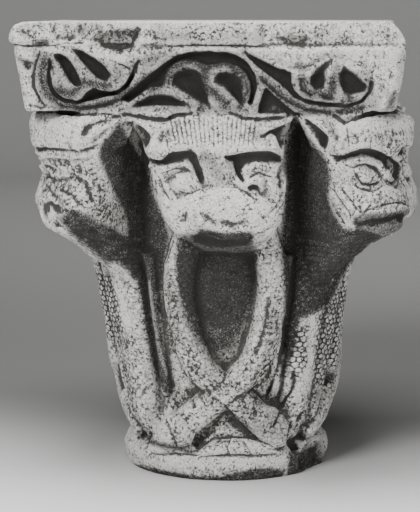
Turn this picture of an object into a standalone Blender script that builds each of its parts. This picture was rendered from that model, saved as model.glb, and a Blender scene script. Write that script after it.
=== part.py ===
"""A Romanesque capital and its impost, carved from one block of stone.

Eight beast heads stand under a square impost with a vine scroll on each face. Scaled bodies run
down from the heads, cross over each other and end on a round astragal. The frame has +Z up and
its origin at the centre of the underside, and the best kept face looks along -Y. Lengths are in
metres. The forms are first piled up as closed shells that overlap, then fused by a voxel remesh,
cut by the hollows and the damage, and thinned to a faceted solid.
"""

import math
from dataclasses import dataclass

import bmesh
import bpy
import numpy as np
from mathutils import Matrix, Vector

# Overall sizes
HEIGHT = 0.422
IMPOST_WIDTH = 0.343
IMPOST_HEIGHT = 0.077
TOP_BAND_HEIGHT = 0.019
IMPOST_SET_BACK = 0.013
IMPOST_SHIFT = -0.009
ARRIS_BLUNTING = 0.006

# The vine scroll on each face of the impost
VINE_DEPTH = 0.0105
VINE_STEM_RADIUS = 0.0062
VINE_HALF_LENGTH = 0.144
VINE_LEDGE = 0.004
VINE_PITCH = 0.222
VINE_LOOP_RADIUS = 0.0250
INCISED_LINE = 0.0035

# The astragal, and the bell behind the beasts
ASTRAGAL_DIAMETER = 0.199
ASTRAGAL_HEIGHT = 0.030
BELL_FOOT_RADIUS = 0.083
BELL_TOP_RADIUS = 0.120

# The beast heads
HEAD_HEIGHT = 0.114
FACE_HEAD_WIDTH = 0.118
FACE_HEAD_REACH = 0.182
CORNER_HEAD_WIDTH = 0.078
CORNER_HEAD_REACH = 0.214
BROKEN_HEAD_REACH = 0.210
HEAD_ROOT = 0.060
BROW_CUT_RADIUS = 0.0055
EYE_RADIUS = 0.0105
EAR_RADIUS = 0.012
EAR_TIP_ANGLE = 25.5
EAR_TIP_REACH = 0.174
FRONT_CHIN_LEAN = 0.0085
FRONT_CROWN_LEAN = -0.0070

# The scaled bodies, and the plain stalks between them
BAND_WIDTH = 0.028
BAND_RELIEF = 0.020
CORNER_BODY_WIDTH = 0.038
STALK_RADIUS = 0.0045
STALK_ANGLE = 31.5
CLAW_LENGTH = 0.024
CLAW_RADIUS = 0.007

# How finely the stone is cut
CLAY_VOXEL = 0.0026
TRIANGLES = 9600
OVERLAP = 0.006
BLOCK_MARGIN = 0.1
FRONT_LIMIT = 0.02
FRONT_THINNING = 0.6

FACE_ANGLES = (0, 90, 180, 270)
CORNER_ANGLES = (45, 135, 225, 315)
BROKEN_CORNERS = (315, 225)
BODY_SHIFT = 2.8
RING_SIDES = 28

SOFFIT = HEIGHT - IMPOST_HEIGHT
CHIN = SOFFIT - HEAD_HEIGHT
BAND_FOOT = HEIGHT - TOP_BAND_HEIGHT
HALF_IMPOST = IMPOST_WIDTH / 2
VINE_TOP = BAND_FOOT - INCISED_LINE
VINE_FOOT = SOFFIT + VINE_LEDGE

# Head sections from the neck up: height, half width, reach and waist behind the cheeks, as shares
FACE_HEAD_PROFILE = (
    (-0.14, 0.50, 0.62, 0.95), (-0.06, 0.55, 0.77, 0.85), (0.01, 0.62, 0.89, 0.75),
    (0.08, 0.76, 0.97, 0.60), (0.19, 0.88, 0.985, 0.50), (0.32, 0.94, 0.955, 0.50),
    (0.46, 0.98, 0.925, 0.50), (0.62, 1.00, 0.925, 0.50), (0.72, 1.04, 0.945, 0.50),
    (0.82, 1.08, 0.905, 0.50), (0.92, 1.12, 0.88, 0.55), (1.00, 1.16, 0.865, 0.60),
    (1.06, 1.16, 0.82, 0.60))
CORNER_HEAD_PROFILE = (
    (-0.55, 0.26, 0.53, 1.00), (-0.30, 0.38, 0.66, 1.00), (-0.16, 0.48, 0.77, 0.95),
    (-0.06, 0.56, 0.84, 0.85), (0.02, 0.64, 0.92, 0.75), (0.10, 0.70, 0.985, 0.65),
    (0.20, 0.76, 1.00, 0.60), (0.32, 0.86, 0.985, 0.50), (0.46, 0.94, 0.945, 0.50),
    (0.62, 1.04, 0.965, 0.50), (0.73, 1.08, 1.00, 0.50), (0.83, 1.12, 0.995, 0.50),
    (0.93, 1.16, 0.965, 0.55), (1.00, 1.20, 0.94, 0.60), (1.06, 1.20, 0.88, 0.60))
# One side of a head in plan, from its root to the middle of its front: half width and depth shares
HEAD_PLAN = ((0.86, 0.00), (0.86, 0.30), (0.94, 0.52), (0.98, 0.70), (1.00, 0.80),
             (0.94, 0.905), (0.76, 0.965), (0.42, 0.995), (0.00, 1.00))
PINCHED_POINTS = (1.0, 1.0, 0.72, 0.15, 0.0, 0.0, 0.0, 0.0, 0.0)
FACE_BROW = ((0.22, 0.45), (0.27, 0.56), (0.52, 0.63), (0.82, 0.64), (1.00, 0.61))
CORNER_BROW = ((0.36, 0.46), (0.44, 0.57), (0.70, 0.635), (0.93, 0.65), (1.00, 0.62))

# Bell radius at each height: shares of the bell's height and of its swelling from foot to top
BELL_PROFILE = ((1.00, 1.00), (0.72, 0.88), (0.57, 0.84), (0.45, 0.64), (0.31, 0.41),
                (0.165, 0.20), (0.05, 0.03), (0.00, 0.00))

# One crossing body: degrees from its face's middle line, height as a share of the chin's, and
# width share; and the same for the body under a corner head
BODY_PATH = ((15, 1.02, 1.0), (18.5, 0.93, 1.0), (21.3, 0.84, 1.0), (21.8, 0.74, 1.0),
             (19.7, 0.61, 1.0), (14.2, 0.475, 1.0), (1.5, 0.385, 1.0), (-13.5, 0.290, 1.0),
             (-26, 0.215, 1.0), (-36, 0.155, 0.7))
CORNER_BODY_PATH = ((0, 1.00, 1.0), (0, 0.85, 1.0), (0, 0.64, 0.95), (0, 0.43, 0.85),
                    (0.5, 0.27, 0.66), (1.0, 0.175, 0.42), (1.2, 0.14, 0.2))


def place(angle, across, out, up):
    """The point so far across, out from the axis and up, on the side that an angle in degrees names."""
    turn = math.radians(angle)
    return Vector((out * math.sin(turn) + across * math.cos(turn),
                   across * math.sin(turn) - out * math.cos(turn), up))


def smooth_rows(rows, steps):
    """Rows of numbers read at even steps along a smooth curve that passes through all of them."""
    rows = np.array(rows, float)
    ends = np.vstack([2 * rows[0] - rows[1], rows, 2 * rows[-1] - rows[-2]])
    found = []
    for along in np.linspace(0, len(rows) - 1, steps):
        i = min(int(along), len(rows) - 2)
        t = along - i
        a, b, c, d = ends[i:i + 4]
        found.append(0.5 * (2 * b + (c - a) * t + (2 * a - 5 * b + 4 * c - d) * t ** 2
                            + (3 * b - a - 3 * c + d) * t ** 3))
    return np.array(found)


def bell_radius(up):
    """The radius of the bell's ground at a height."""
    share = (up - ASTRAGAL_HEIGHT) / (SOFFIT - ASTRAGAL_HEIGHT)
    rows = BELL_PROFILE[::-1]
    swelling = np.interp(share, [row[0] for row in rows], [row[1] for row in rows])
    return BELL_FOOT_RADIUS + (BELL_TOP_RADIUS - BELL_FOOT_RADIUS) * float(swelling)


def impost_plane(up):
    """How far out the relief's outer surface stands on the impost at a height."""
    share = (up - SOFFIT) / (BAND_FOOT - SOFFIT)
    return HALF_IMPOST - IMPOST_SET_BACK + (IMPOST_SET_BACK - INCISED_LINE) * share


def on_impost(angle, across, up, below=0.0):
    """A point on a face of the impost, some way below its outer surface."""
    return place(angle, across, impost_plane(up) - below, up) + Vector((IMPOST_SHIFT, 0, 0))


def mesh_of(shape):
    """The mesh of a bmesh, closed and with its faces turned outwards."""
    bmesh.ops.recalc_face_normals(shape, faces=shape.faces)
    mesh = bpy.data.meshes.new("shell")
    shape.to_mesh(mesh)
    shape.free()
    return mesh


def loft(rings):
    """A closed shell through rings of points: a grid bent round them, its seam welded, its ends filled."""
    sides = len(rings[0])
    shape = bmesh.new()
    bmesh.ops.create_grid(shape, x_segments=sides, y_segments=len(rings) - 1, size=1)
    shape.verts.ensure_lookup_table()
    for row, ring in enumerate(rings):
        for column in range(sides + 1):
            shape.verts[row * (sides + 1) + column].co = ring[column % sides]
    bmesh.ops.remove_doubles(shape, verts=shape.verts, dist=1e-6)
    bmesh.ops.holes_fill(shape, edges=shape.edges, sides=sides)
    return mesh_of(shape)


def ball(centre, radii, turn=0.0, tilt=0.0):
    """A closed ellipsoid, tilted in its own plane and then turned about the vertical."""
    shape = bmesh.new()
    matrix = (Matrix.Translation(centre) @ Matrix.Rotation(math.radians(turn), 4, "Z")
              @ Matrix.Rotation(math.radians(tilt), 4, "Y") @ Matrix.Diagonal((*radii, 1)))
    bmesh.ops.create_uvsphere(shape, u_segments=16, v_segments=10, radius=1, matrix=matrix)
    return mesh_of(shape)


def rod(points, radii):
    """A closed round rod through points, with its own radius at each."""
    curve = bpy.data.curves.new("rod", "CURVE")
    curve.dimensions = "3D"
    curve.bevel_depth = 1.0
    curve.bevel_resolution = 2
    curve.use_fill_caps = True
    spline = curve.splines.new("POLY")
    spline.points.add(len(points) - 1)
    for spot, point, radius in zip(spline.points, points, radii):
        spot.co = (*point, 1)
        spot.radius = radius
    guide = bpy.data.objects.new("rod", curve)
    bpy.context.scene.collection.objects.link(guide)
    evaluated = guide.evaluated_get(bpy.context.evaluated_depsgraph_get())
    shape = bmesh.new()
    shape.from_mesh(bpy.data.meshes.new_from_object(evaluated))
    bpy.data.objects.remove(guide)
    bmesh.ops.remove_doubles(shape, verts=shape.verts, dist=1e-5)
    return mesh_of(shape)


def smooth_rod(points, radii, steps=24):
    """A rod along a smooth curve through a few points."""
    rows = smooth_rows([(*point, radius) for point, radius in zip(points, radii)], steps)
    return rod(rows[:, :3], rows[:, 3])


def box(low, high):
    """A closed box between two corners."""
    shape = bmesh.new()
    size = [b - a for a, b in zip(low, high)]
    centre = [(a + b) / 2 for a, b in zip(low, high)]
    matrix = Matrix.Translation(centre) @ Matrix.Diagonal((*size, 1))
    bmesh.ops.create_cube(shape, size=1, matrix=matrix)
    return mesh_of(shape)


def turned(profile):
    """A closed turned shell from a profile that runs from the axis down its outer side to the axis."""
    shape = bmesh.new()
    last = None
    for radius, up in profile:
        corner = shape.verts.new((radius, 0, up))
        if last:
            shape.edges.new((last, corner))
        last = corner
    mesh = bpy.data.meshes.new("profile")
    shape.to_mesh(mesh)
    shape.free()
    guide = bpy.data.objects.new("profile", mesh)
    bpy.context.scene.collection.objects.link(guide)
    screw = guide.modifiers.new("turn", "SCREW")
    screw.steps = 48
    screw.render_steps = 48
    screw.use_merge_vertices = True
    screw.merge_threshold = 0.0001
    evaluated = guide.evaluated_get(bpy.context.evaluated_depsgraph_get())
    shape = bmesh.new()
    shape.from_mesh(bpy.data.meshes.new_from_object(evaluated))
    bpy.data.objects.remove(guide)
    return mesh_of(shape)


def bell_and_astragal():
    """The turned core: the bell's ground, flared under the impost, and the astragal's round."""
    half = ASTRAGAL_HEIGHT / 2
    profile = [(0, SOFFIT + OVERLAP), (BELL_TOP_RADIUS, SOFFIT + OVERLAP)]
    rise = SOFFIT - ASTRAGAL_HEIGHT
    profile += [(bell_radius(ASTRAGAL_HEIGHT + rise * share), ASTRAGAL_HEIGHT + rise * share)
                for share in np.linspace(1, 0.02, 16)]
    for step in range(9):
        turn = math.pi * (0.5 - step / 8)
        rounding = 0.85 if turn > 0 else 0.40
        radius = ASTRAGAL_DIAMETER / 2 - half * (1 - math.cos(turn)) * rounding
        profile.append((radius, half + half * math.sin(turn)))
    profile += [(profile[-1][0], -OVERLAP), (0, -OVERLAP)]
    return [turned(profile)]


def square_ring(half, up):
    """A square section of the impost with its corners taken off a little."""
    corners = []
    for angle in FACE_ANGLES:
        corners.append(place(angle, -half + ARRIS_BLUNTING, half, up))
        corners.append(place(angle, half - ARRIS_BLUNTING, half, up))
    return [corner + Vector((IMPOST_SHIFT, 0, 0)) for corner in corners]


def impost_block():
    """The square block: a plain band over an incised line, and a sloping face below it."""
    return [loft([square_ring(impost_plane(SOFFIT), SOFFIT),
                  square_ring(impost_plane(VINE_TOP), VINE_TOP),
                  square_ring(impost_plane(BAND_FOOT) - INCISED_LINE, BAND_FOOT - INCISED_LINE / 2),
                  square_ring(HALF_IMPOST, BAND_FOOT + INCISED_LINE / 2),
                  square_ring(HALF_IMPOST, HEIGHT + OVERLAP)])]


def vine_pocket(angle):
    """The sunk ground of one vine scroll, as a cutter."""
    rings = []
    for up in (VINE_FOOT, VINE_TOP):
        ring = []
        for across, below in ((-1, VINE_DEPTH), (1, VINE_DEPTH), (1, -OVERLAP), (-1, -OVERLAP)):
            ring.append(on_impost(angle, across * VINE_HALF_LENGTH, up, below))
        rings.append(ring)
    return loft(rings)


def vine_scroll(angle):
    """One face's vine: a waving stem whose ends curl up, with half leaves in its bays."""
    middle = (VINE_TOP + VINE_FOOT) / 2
    swing = (VINE_TOP - VINE_FOOT) / 2 - VINE_STEM_RADIUS * 0.6
    sunk = VINE_STEM_RADIUS * 0.9
    shells = []
    reach = VINE_PITCH / 2 * 1.04
    wave = [(across, middle + swing * math.cos(2 * math.pi * across / VINE_PITCH))
            for across in np.linspace(-reach, reach, 34)]
    routes = [wave]
    for side in (-1, 1):
        hub = side * (VINE_HALF_LENGTH - VINE_LOOP_RADIUS)
        turns = np.radians(np.linspace(-100, 85, 18))
        routes.append([(hub + side * VINE_LOOP_RADIUS * math.cos(turn),
                        middle + VINE_LOOP_RADIUS * math.sin(turn)) for turn in turns])
    for route in routes:
        shells.append(rod([on_impost(angle, *point, sunk) for point in route],
                          [VINE_STEM_RADIUS] * len(route)))
    return shells


# Leaf lobes as shares of the pitch and the band's height: across, up, half length, half width; tilt
VINE_LOBES = (
    (-0.072, 0.04, 0.056, 0.22, 0), (0.108, -0.02, 0.056, 0.29, 0),
    (-0.234, -0.26, 0.117, 0.12, 15), (-0.550, 0.12, 0.029, 0.30, 35),
    (-0.437, 0.12, 0.029, 0.28, 50), (0.387, -0.02, 0.054, 0.22, 0),
    (0.536, -0.10, 0.068, 0.25, 0))
VINE_BUD = (0.252, -0.30, 0.058, 0.16, -25)


def vine_leaves(angle, hollow):
    """The half leaves in the bays of one scroll: rings with a deep hollow, or plain lobes."""
    middle = (VINE_TOP + VINE_FOOT) / 2
    tall = VINE_TOP - VINE_FOOT
    rim = VINE_STEM_RADIUS * 0.76
    sunk = VINE_DEPTH - rim * 0.7
    shells = []
    for lobe in VINE_LOBES + (VINE_BUD,):
        across, length = lobe[0] * VINE_PITCH, lobe[2] * VINE_PITCH
        up, width = lobe[1] * tall, lobe[3] * tall
        tilt = lobe[4]
        if not hollow or lobe == VINE_BUD:
            centre = on_impost(angle, across, middle + up, VINE_DEPTH * 0.8)
            shells.append(ball(centre, (length + rim, VINE_DEPTH * 0.75, width + rim), angle, -tilt))
            continue
        lean = math.radians(tilt)
        points = []
        for turn in np.linspace(0, 2 * math.pi, 21):
            along, off = length * math.cos(turn), width * math.sin(turn)
            points.append(on_impost(angle, across + along * math.cos(lean) - off * math.sin(lean),
                                    middle + up + along * math.sin(lean) + off * math.cos(lean), sunk))
        shells.append(rod(points, [rim] * 21))
    return shells


@dataclass
class Head:
    """One beast's head: where it looks, its size, its sections and how far it leans aside."""

    angle: float
    width: float
    reach: float
    profile: tuple
    brow: tuple
    lean_low: float = 0.0
    lean_high: float = 0.0
    broken: bool = False

    @property
    def corner(self):
        """Whether the head juts out at a corner."""
        return self.angle % 90 != 0

    def section(self, height):
        """Half width and reach of the head's section at a share of its height."""
        rows = np.array(self.profile)
        return [float(np.interp(height, rows[:, 0], rows[:, column])) for column in (1, 2)]

    def at(self, across, out, height):
        """A point by its distance from the middle plane, its distance out and its height share."""
        lean = self.lean_low + (self.lean_high - self.lean_low) * height
        return place(self.angle, lean + across, out, CHIN + HEAD_HEIGHT * height)

    def on_front(self, share, height, below=0.0):
        """A point on the front of the head, at a share of the half width to either side."""
        wide, far = self.section(height)
        front = np.array(HEAD_PLAN[4:])[::-1]
        depth = float(np.interp(abs(share), front[:, 0], front[:, 1]))
        out = HEAD_ROOT + (self.reach * far - HEAD_ROOT) * depth - below
        return self.at(self.width / 2 * wide * share, out, height)

    def shell(self):
        """The head's mass, lofted from the neck up to under the impost."""
        rings = []
        for height, wide, far, waist in smooth_rows(self.profile, 32):
            side = []
            for (half, depth), pinch in zip(HEAD_PLAN, PINCHED_POINTS):
                side.append((half * (1 - pinch * (1 - waist)), depth))
            side = smooth_rows(side, 19)
            outline = [*side, *[(-half, depth) for half, depth in side[-2::-1]]]
            rings.append([self.at(self.width / 2 * wide * half,
                                  HEAD_ROOT + (self.reach * far - HEAD_ROOT) * depth, height)
                          for half, depth in outline])
        return loft(rings)

    def ear(self, side):
        """The points of one ear, from its root on the head to its tip under the impost."""
        tip_turn = math.radians(EAR_TIP_ANGLE if not self.corner else 45 - EAR_TIP_ANGLE)
        tip = (side * EAR_TIP_REACH * math.sin(tip_turn), EAR_TIP_REACH * math.cos(tip_turn))
        if self.corner:
            root = (side * self.width * 0.50, self.reach * 0.87)
        else:
            root = (side * self.width * 0.44, self.reach * 0.86)
        points = []
        for share in (0, 0.5, 1):
            across = root[0] + (tip[0] - root[0]) * share
            out = root[1] + (tip[1] - root[1]) * share
            points.append(self.at(across, out, 0.82 + 0.18 * share))
        return points

    def features(self):
        """What is raised on the head: the ears, the eyes, the nose bridge and the muzzle."""
        half = self.width / 2
        shells = []
        for side in (-1, 1):
            shells.append(smooth_rod(self.ear(side), [EAR_RADIUS, EAR_RADIUS * 0.8, EAR_RADIUS * 0.25], 10))
            turn = self.angle + side * (38 if self.corner else 8)
            eye = self.on_front(side * (0.74 if self.corner else 0.49), 0.45)
            shells.append(ball(eye, (EYE_RADIUS * 1.2, EYE_RADIUS * 0.8, EYE_RADIUS * 0.8), turn))
        if self.broken:
            return shells
        bridge = [self.on_front(0, 0.68, half * 0.16), self.on_front(0, 0.45, half * 0.12),
                  self.on_front(0, 0.24, half * 0.20)]
        shells.append(smooth_rod(bridge, [half * 0.24, half * 0.25, half * 0.36], 12))
        muzzle = self.on_front(0, 0.17, half * 0.25)
        shells.append(ball(muzzle, (half * 0.66, half * 0.31, HEAD_HEIGHT * 0.115), self.angle))
        return shells

    def hollows(self):
        """What is cut from the head: the channels under the brows, and the hollows of the ears."""
        cutters = []
        for side in (-1, 1):
            points = [self.on_front(side * share, height) for share, height in self.brow]
            radii = [BROW_CUT_RADIUS * 0.7] + [BROW_CUT_RADIUS] * (len(points) - 1)
            cutters.append(smooth_rod(points, radii, 14))
            outward = self.at(side * 1.0, 0, 0) - self.at(0, 0, 0) if self.corner else (
                self.at(0, 1.0, 0) - self.at(0, 0, 0))
            root, middle, tip = self.ear(side)
            points = [root + outward * EAR_RADIUS, middle + outward * EAR_RADIUS * 0.85,
                      middle.lerp(tip, 0.5) + outward * EAR_RADIUS * 0.6]
            cutters.append(smooth_rod(points, [EAR_RADIUS * 0.55, EAR_RADIUS * 0.42, EAR_RADIUS * 0.1], 10))
        return cutters


def body_section(angle, up, heading, width, relief, squareness=2.4):
    """A section of a body that lies on the bell, square to its heading and half sunk in the bell."""
    ring = []
    centre_radius = bell_radius(up)
    for step in range(RING_SIDES):
        turn = 2 * math.pi * step / RING_SIDES
        c = math.copysign(abs(math.cos(turn)) ** (2 / squareness), math.cos(turn))
        s = math.copysign(abs(math.sin(turn)) ** (2 / squareness), math.sin(turn))
        side = width / 2 * c
        out = relief * s if s > 0 else OVERLAP * 1.5 * s
        shift = side * math.cos(heading)
        rise = side * math.sin(heading)
        ring.append(place(angle + math.degrees(shift / centre_radius), 0, centre_radius + out,
                          up + rise))
    return ring


def body_loft(angle, path, width, relief):
    """A body along a path of degrees, height and width share, laid on the bell."""
    rows = smooth_rows(path, 40)
    rings = []
    for i, (degrees, up, share) in enumerate(rows):
        before = rows[max(i - 1, 0)]
        after = rows[min(i + 1, len(rows) - 1)]
        run = math.radians(after[0] - before[0]) * bell_radius(up)
        rise = after[1] - before[1]
        heading = math.atan2(run, -rise)
        rings.append(body_section(angle + degrees, up, heading, width * share, relief * min(1, share * 1.6)))
    return loft(rings)


def face_bodies(angle, shift=0.0):
    """The two crossing bodies under one face head: the one that starts on the right lies on top."""
    shells = []
    for side, relief in ((-1, BAND_RELIEF * 0.86), (1, BAND_RELIEF)):
        path = [(side * degrees + shift, CHIN * height, share) for degrees, height, share in BODY_PATH]
        shells.append(body_loft(angle, path, BAND_WIDTH, relief))
    return shells


def corner_body(angle):
    """The single body under a corner head, tapered to a round tip on the astragal."""
    path = [(degrees, CHIN * height, share) for degrees, height, share in CORNER_BODY_PATH]
    return [body_loft(angle, path, CORNER_BODY_WIDTH, BAND_RELIEF)]


def stalks(angle):
    """The thin plain ridges on both sides of a face's bodies."""
    shells = []
    for side in (-1, 1):
        heights = np.linspace(0.92, 0.33, 14)
        points = [place(angle + side * STALK_ANGLE, 0, bell_radius(CHIN * height) + STALK_RADIUS * 0.6,
                        CHIN * height) for height in heights]
        shells.append(rod(points, [STALK_RADIUS] * 13 + [STALK_RADIUS * 0.5]))
    return shells


def claws(angle):
    """Small wedges that point down to the astragal where the bodies part."""
    shells = []
    for degrees, length in ((-9, 0.9), (1, 1.0), (11, 0.8)):
        top = ASTRAGAL_HEIGHT + CLAW_LENGTH * length
        foot = bell_radius(ASTRAGAL_HEIGHT) + CLAW_RADIUS * 0.6
        points = [place(angle + degrees, 0, bell_radius(top), top),
                  place(angle + degrees, 0, foot, ASTRAGAL_HEIGHT)]
        shells.append(rod(points, [CLAW_RADIUS, CLAW_RADIUS * 0.3]))
    return shells


# What is broken off the impost: where its hollow lies and how big it is, as shares of the impost's
# half width across and in depth, and of its height upwards
IMPOST_DAMAGE = (
    ((-0.61, 1.04, 0.87), (0.20, 0.07, 0.21)), ((1.02, 1.04, 1.16), (0.13, 0.11, 0.39)),
    ((1.03, 1.02, 0.08), (0.09, 0.11, 0.16)), ((-0.99, 1.02, 0.60), (0.08, 0.06, 0.13)))
ASTRAGAL_CHIP_ANGLE = 38


def damage():
    """Cutters for what is broken: arrises of the impost, the left snouts and the astragal's edge."""
    cutters = []
    for spot, size in IMPOST_DAMAGE:
        centre = place(0, HALF_IMPOST * spot[0] + IMPOST_SHIFT, HALF_IMPOST * spot[1],
                       SOFFIT + IMPOST_HEIGHT * spot[2])
        radii = (HALF_IMPOST * size[0], HALF_IMPOST * size[1], IMPOST_HEIGHT * size[2])
        cutters.append(ball(centre, radii))
    chip = place(ASTRAGAL_CHIP_ANGLE, 0, ASTRAGAL_DIAMETER * 0.52, ASTRAGAL_HEIGHT * 0.35)
    cutters.append(ball(chip, (ASTRAGAL_HEIGHT * 0.65, ASTRAGAL_HEIGHT * 0.4, ASTRAGAL_HEIGHT * 0.45),
                        ASTRAGAL_CHIP_ANGLE))
    for angle in BROKEN_CORNERS:
        snout = place(angle, 0, BROKEN_HEAD_REACH * 1.07, CHIN + HEAD_HEIGHT * 0.16)
        cutters.append(ball(snout, (CORNER_HEAD_WIDTH * 0.54, CORNER_HEAD_WIDTH * 0.29,
                                    HEAD_HEIGHT * 0.26), angle))
    return cutters


def joined(name, meshes, collection):
    """One object that holds all these shells."""
    shape = bmesh.new()
    for mesh in meshes:
        shape.from_mesh(mesh)
        bpy.data.meshes.remove(mesh)
    mesh = bpy.data.meshes.new(name)
    shape.to_mesh(mesh)
    shape.free()
    thing = bpy.data.objects.new(name, mesh)
    collection.objects.link(thing)
    return thing


def fused(thing, voxel):
    """Fuse an object's overlapping shells into one skin."""
    remesh = thing.modifiers.new("fuse", "REMESH")
    remesh.mode = "VOXEL"
    remesh.voxel_size = voxel
    settle(thing)


def settle(thing):
    """Replace an object's mesh by what its modifiers make of it."""
    evaluated = thing.evaluated_get(bpy.context.evaluated_depsgraph_get())
    mesh = bpy.data.meshes.new_from_object(evaluated)
    thing.modifiers.clear()
    thing.data = mesh


def drop_inner_skins(thing):
    """Delete every skin but the outer one, which the fusing leaves where shells close in a space."""
    shape = bmesh.new()
    shape.from_mesh(thing.data)
    left = set(shape.verts)
    skins = []
    while left:
        front = [left.pop()]
        skin = set(front)
        while front:
            for edge in front.pop().link_edges:
                for vertex in edge.verts:
                    if vertex in left:
                        left.remove(vertex)
                        skin.add(vertex)
                        front.append(vertex)
        skins.append(skin)
    skins.sort(key=len)
    inner = [vertex for skin in skins[:-1] for vertex in skin]
    bmesh.ops.delete(shape, geom=inner, context="VERTS")
    shape.to_mesh(thing.data)
    shape.free()


def cut(thing, cutter, operation):
    """Cut an object by another with a Boolean, and apply it."""
    boolean = thing.modifiers.new(cutter.name, "BOOLEAN")
    boolean.object = cutter
    boolean.operation = operation
    cutter.hide_render = True
    cutter.display_type = "WIRE"
    settle(thing)


def thin_out(thing, triangles):
    """Smooth the voxel steps away and bring an object down to about so many triangles."""
    smooth = thing.modifiers.new("smooth", "SMOOTH")
    smooth.factor = 0.5
    smooth.iterations = 1
    settle(thing)
    count = sum(len(polygon.vertices) - 2 for polygon in thing.data.polygons)
    group = thing.vertex_groups.new(name="plainer sides")
    for vertex in thing.data.vertices:
        in_front = vertex.co.y < FRONT_LIMIT and vertex.co.z < HEIGHT - OVERLAP
        group.add([vertex.index], FRONT_THINNING if in_front else 1.0, "REPLACE")
    decimate = thing.modifiers.new("thin out", "DECIMATE")
    decimate.vertex_group = group.name
    decimate.ratio = min(1.0, triangles / count)
    settle(thing)


def stone():
    """Pale grey limestone, matt and slightly warm."""
    material = bpy.data.materials.new("limestone")
    material.use_nodes = True
    shader = material.node_tree.nodes["Principled BSDF"]
    shader.inputs["Base Color"].default_value = (0.46, 0.45, 0.43, 1)
    shader.inputs["Roughness"].default_value = 0.85
    shader.inputs["Metallic"].default_value = 0.0
    return material


def new_collection(name):
    """A collection of the scene."""
    collection = bpy.data.collections.new(name)
    bpy.context.scene.collection.children.link(collection)
    return collection


def main():
    """Pile up the forms, fuse them, cut them and thin them out."""
    for thing in list(bpy.data.objects):
        bpy.data.objects.remove(thing)
    parts = new_collection("capital_with_impost")
    cutters = new_collection("cutters")

    heads = []
    shells = bell_and_astragal() + impost_block()
    hollows = []
    for angle in FACE_ANGLES:
        lean = (FRONT_CHIN_LEAN, FRONT_CROWN_LEAN) if angle == 0 else (0.0, 0.0)
        heads.append(Head(angle, FACE_HEAD_WIDTH, FACE_HEAD_REACH, FACE_HEAD_PROFILE, FACE_BROW, *lean))
        shells += face_bodies(angle, BODY_SHIFT if angle == 0 else 0.0)
        shells += stalks(angle)
        shells += claws(angle)
    for angle in CORNER_ANGLES:
        broken = angle in BROKEN_CORNERS
        reach = BROKEN_HEAD_REACH if broken else CORNER_HEAD_REACH
        heads.append(Head(angle, CORNER_HEAD_WIDTH, reach, CORNER_HEAD_PROFILE, CORNER_BROW,
                          broken=broken))
        shells += corner_body(angle)
    for head in heads:
        shells.append(head.shell())
        shells += head.features()
        hollows += head.hollows()

    capital = joined("capital_with_impost", shells, parts)
    fused(capital, CLAY_VOXEL)
    pockets = joined("vine pockets", [vine_pocket(angle) for angle in FACE_ANGLES], cutters)
    cut(capital, pockets, "DIFFERENCE")
    vines = [mesh for angle in FACE_ANGLES for mesh in vine_scroll(angle) + vine_leaves(angle, angle == 0)]
    with_vines = joined("with vines", vines + [capital.data.copy()], cutters)
    capital.data = with_vines.data
    bpy.data.objects.remove(with_vines)
    fused(capital, CLAY_VOXEL)
    cutter = joined("hollows", hollows + damage(), cutters)
    fused(cutter, CLAY_VOXEL)
    cut(capital, cutter, "DIFFERENCE")
    fused(capital, CLAY_VOXEL)
    drop_inner_skins(capital)
    thin_out(capital, TRIANGLES)
    reach = HALF_IMPOST + BLOCK_MARGIN
    block = joined("block", [box((-reach, -reach, 0), (reach, reach, HEIGHT))], cutters)
    cut(capital, block, "INTERSECT")
    capital.data.name = "capital_with_impost"
    capital.data.materials.clear()
    capital.data.materials.append(stone())
    capital.data.shade_smooth()
    capital.data.set_sharp_from_angle(angle=math.radians(40))


main()
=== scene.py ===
"""Looks of a Romanesque capital and its impost, hand-carved from one block of limestone.

The stone is one piece. Its masses are modelled as shells and fused, and the carving is then cut
into them with strokes of a chisel. A stroke is drawn where the photograph shows it, in pixels of
its 420 x 512 picture, and lands on the stone along the photograph's own line of sight. The other
three faces repeat the strokes, turned about the axis and mirrored, plainer than the front.
Lengths are in metres unless a name says mm or px. +Z is up, and the best face looks along -Y.
"""

import logging
import math
from dataclasses import dataclass, field
from enum import Enum

import bmesh
import bpy
import numpy as np
from mathutils import Matrix, Vector

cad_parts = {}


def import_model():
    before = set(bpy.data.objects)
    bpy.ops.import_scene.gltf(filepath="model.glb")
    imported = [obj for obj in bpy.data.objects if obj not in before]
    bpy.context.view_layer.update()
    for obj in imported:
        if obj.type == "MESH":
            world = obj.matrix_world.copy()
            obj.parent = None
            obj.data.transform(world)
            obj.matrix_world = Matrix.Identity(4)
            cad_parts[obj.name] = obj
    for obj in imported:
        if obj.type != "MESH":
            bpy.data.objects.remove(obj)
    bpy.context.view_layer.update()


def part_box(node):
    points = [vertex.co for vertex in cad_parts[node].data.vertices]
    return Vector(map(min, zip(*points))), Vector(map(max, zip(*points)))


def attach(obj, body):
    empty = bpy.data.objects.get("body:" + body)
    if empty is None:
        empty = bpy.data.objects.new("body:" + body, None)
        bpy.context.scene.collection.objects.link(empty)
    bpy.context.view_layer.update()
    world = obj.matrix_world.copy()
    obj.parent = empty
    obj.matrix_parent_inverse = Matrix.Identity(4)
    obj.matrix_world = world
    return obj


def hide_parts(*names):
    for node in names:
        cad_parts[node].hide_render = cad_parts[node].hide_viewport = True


LOG = logging.getLogger("capital")

MM = 0.001
FACE_ANGLES = (0, 90, 180, 270)
CORNER_ANGLES = (45, 135, 225, 315)
BROKEN_CORNERS = (225, 315)
FACE_WIDTH = 0.118
FACE_REACH = 0.182
CORNER_WIDTH = 0.078
CORNER_REACH = 0.214
BROKEN_REACH = 0.210
COARSE_VOXEL = 1.5 * MM
FINE_VOXEL = 1.3 * MM
# What the stone's mesh stores at each point for its finish to read
LAYERS = ("hollow", "carved", "stain_and_shade", "drilled", "worn_and_highlit", "scale along", "scale across", "scale depth")
# How many triangles the stone is thinned out to. A little under the most that one piece
# may have
TRIANGLES = 194000


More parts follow.
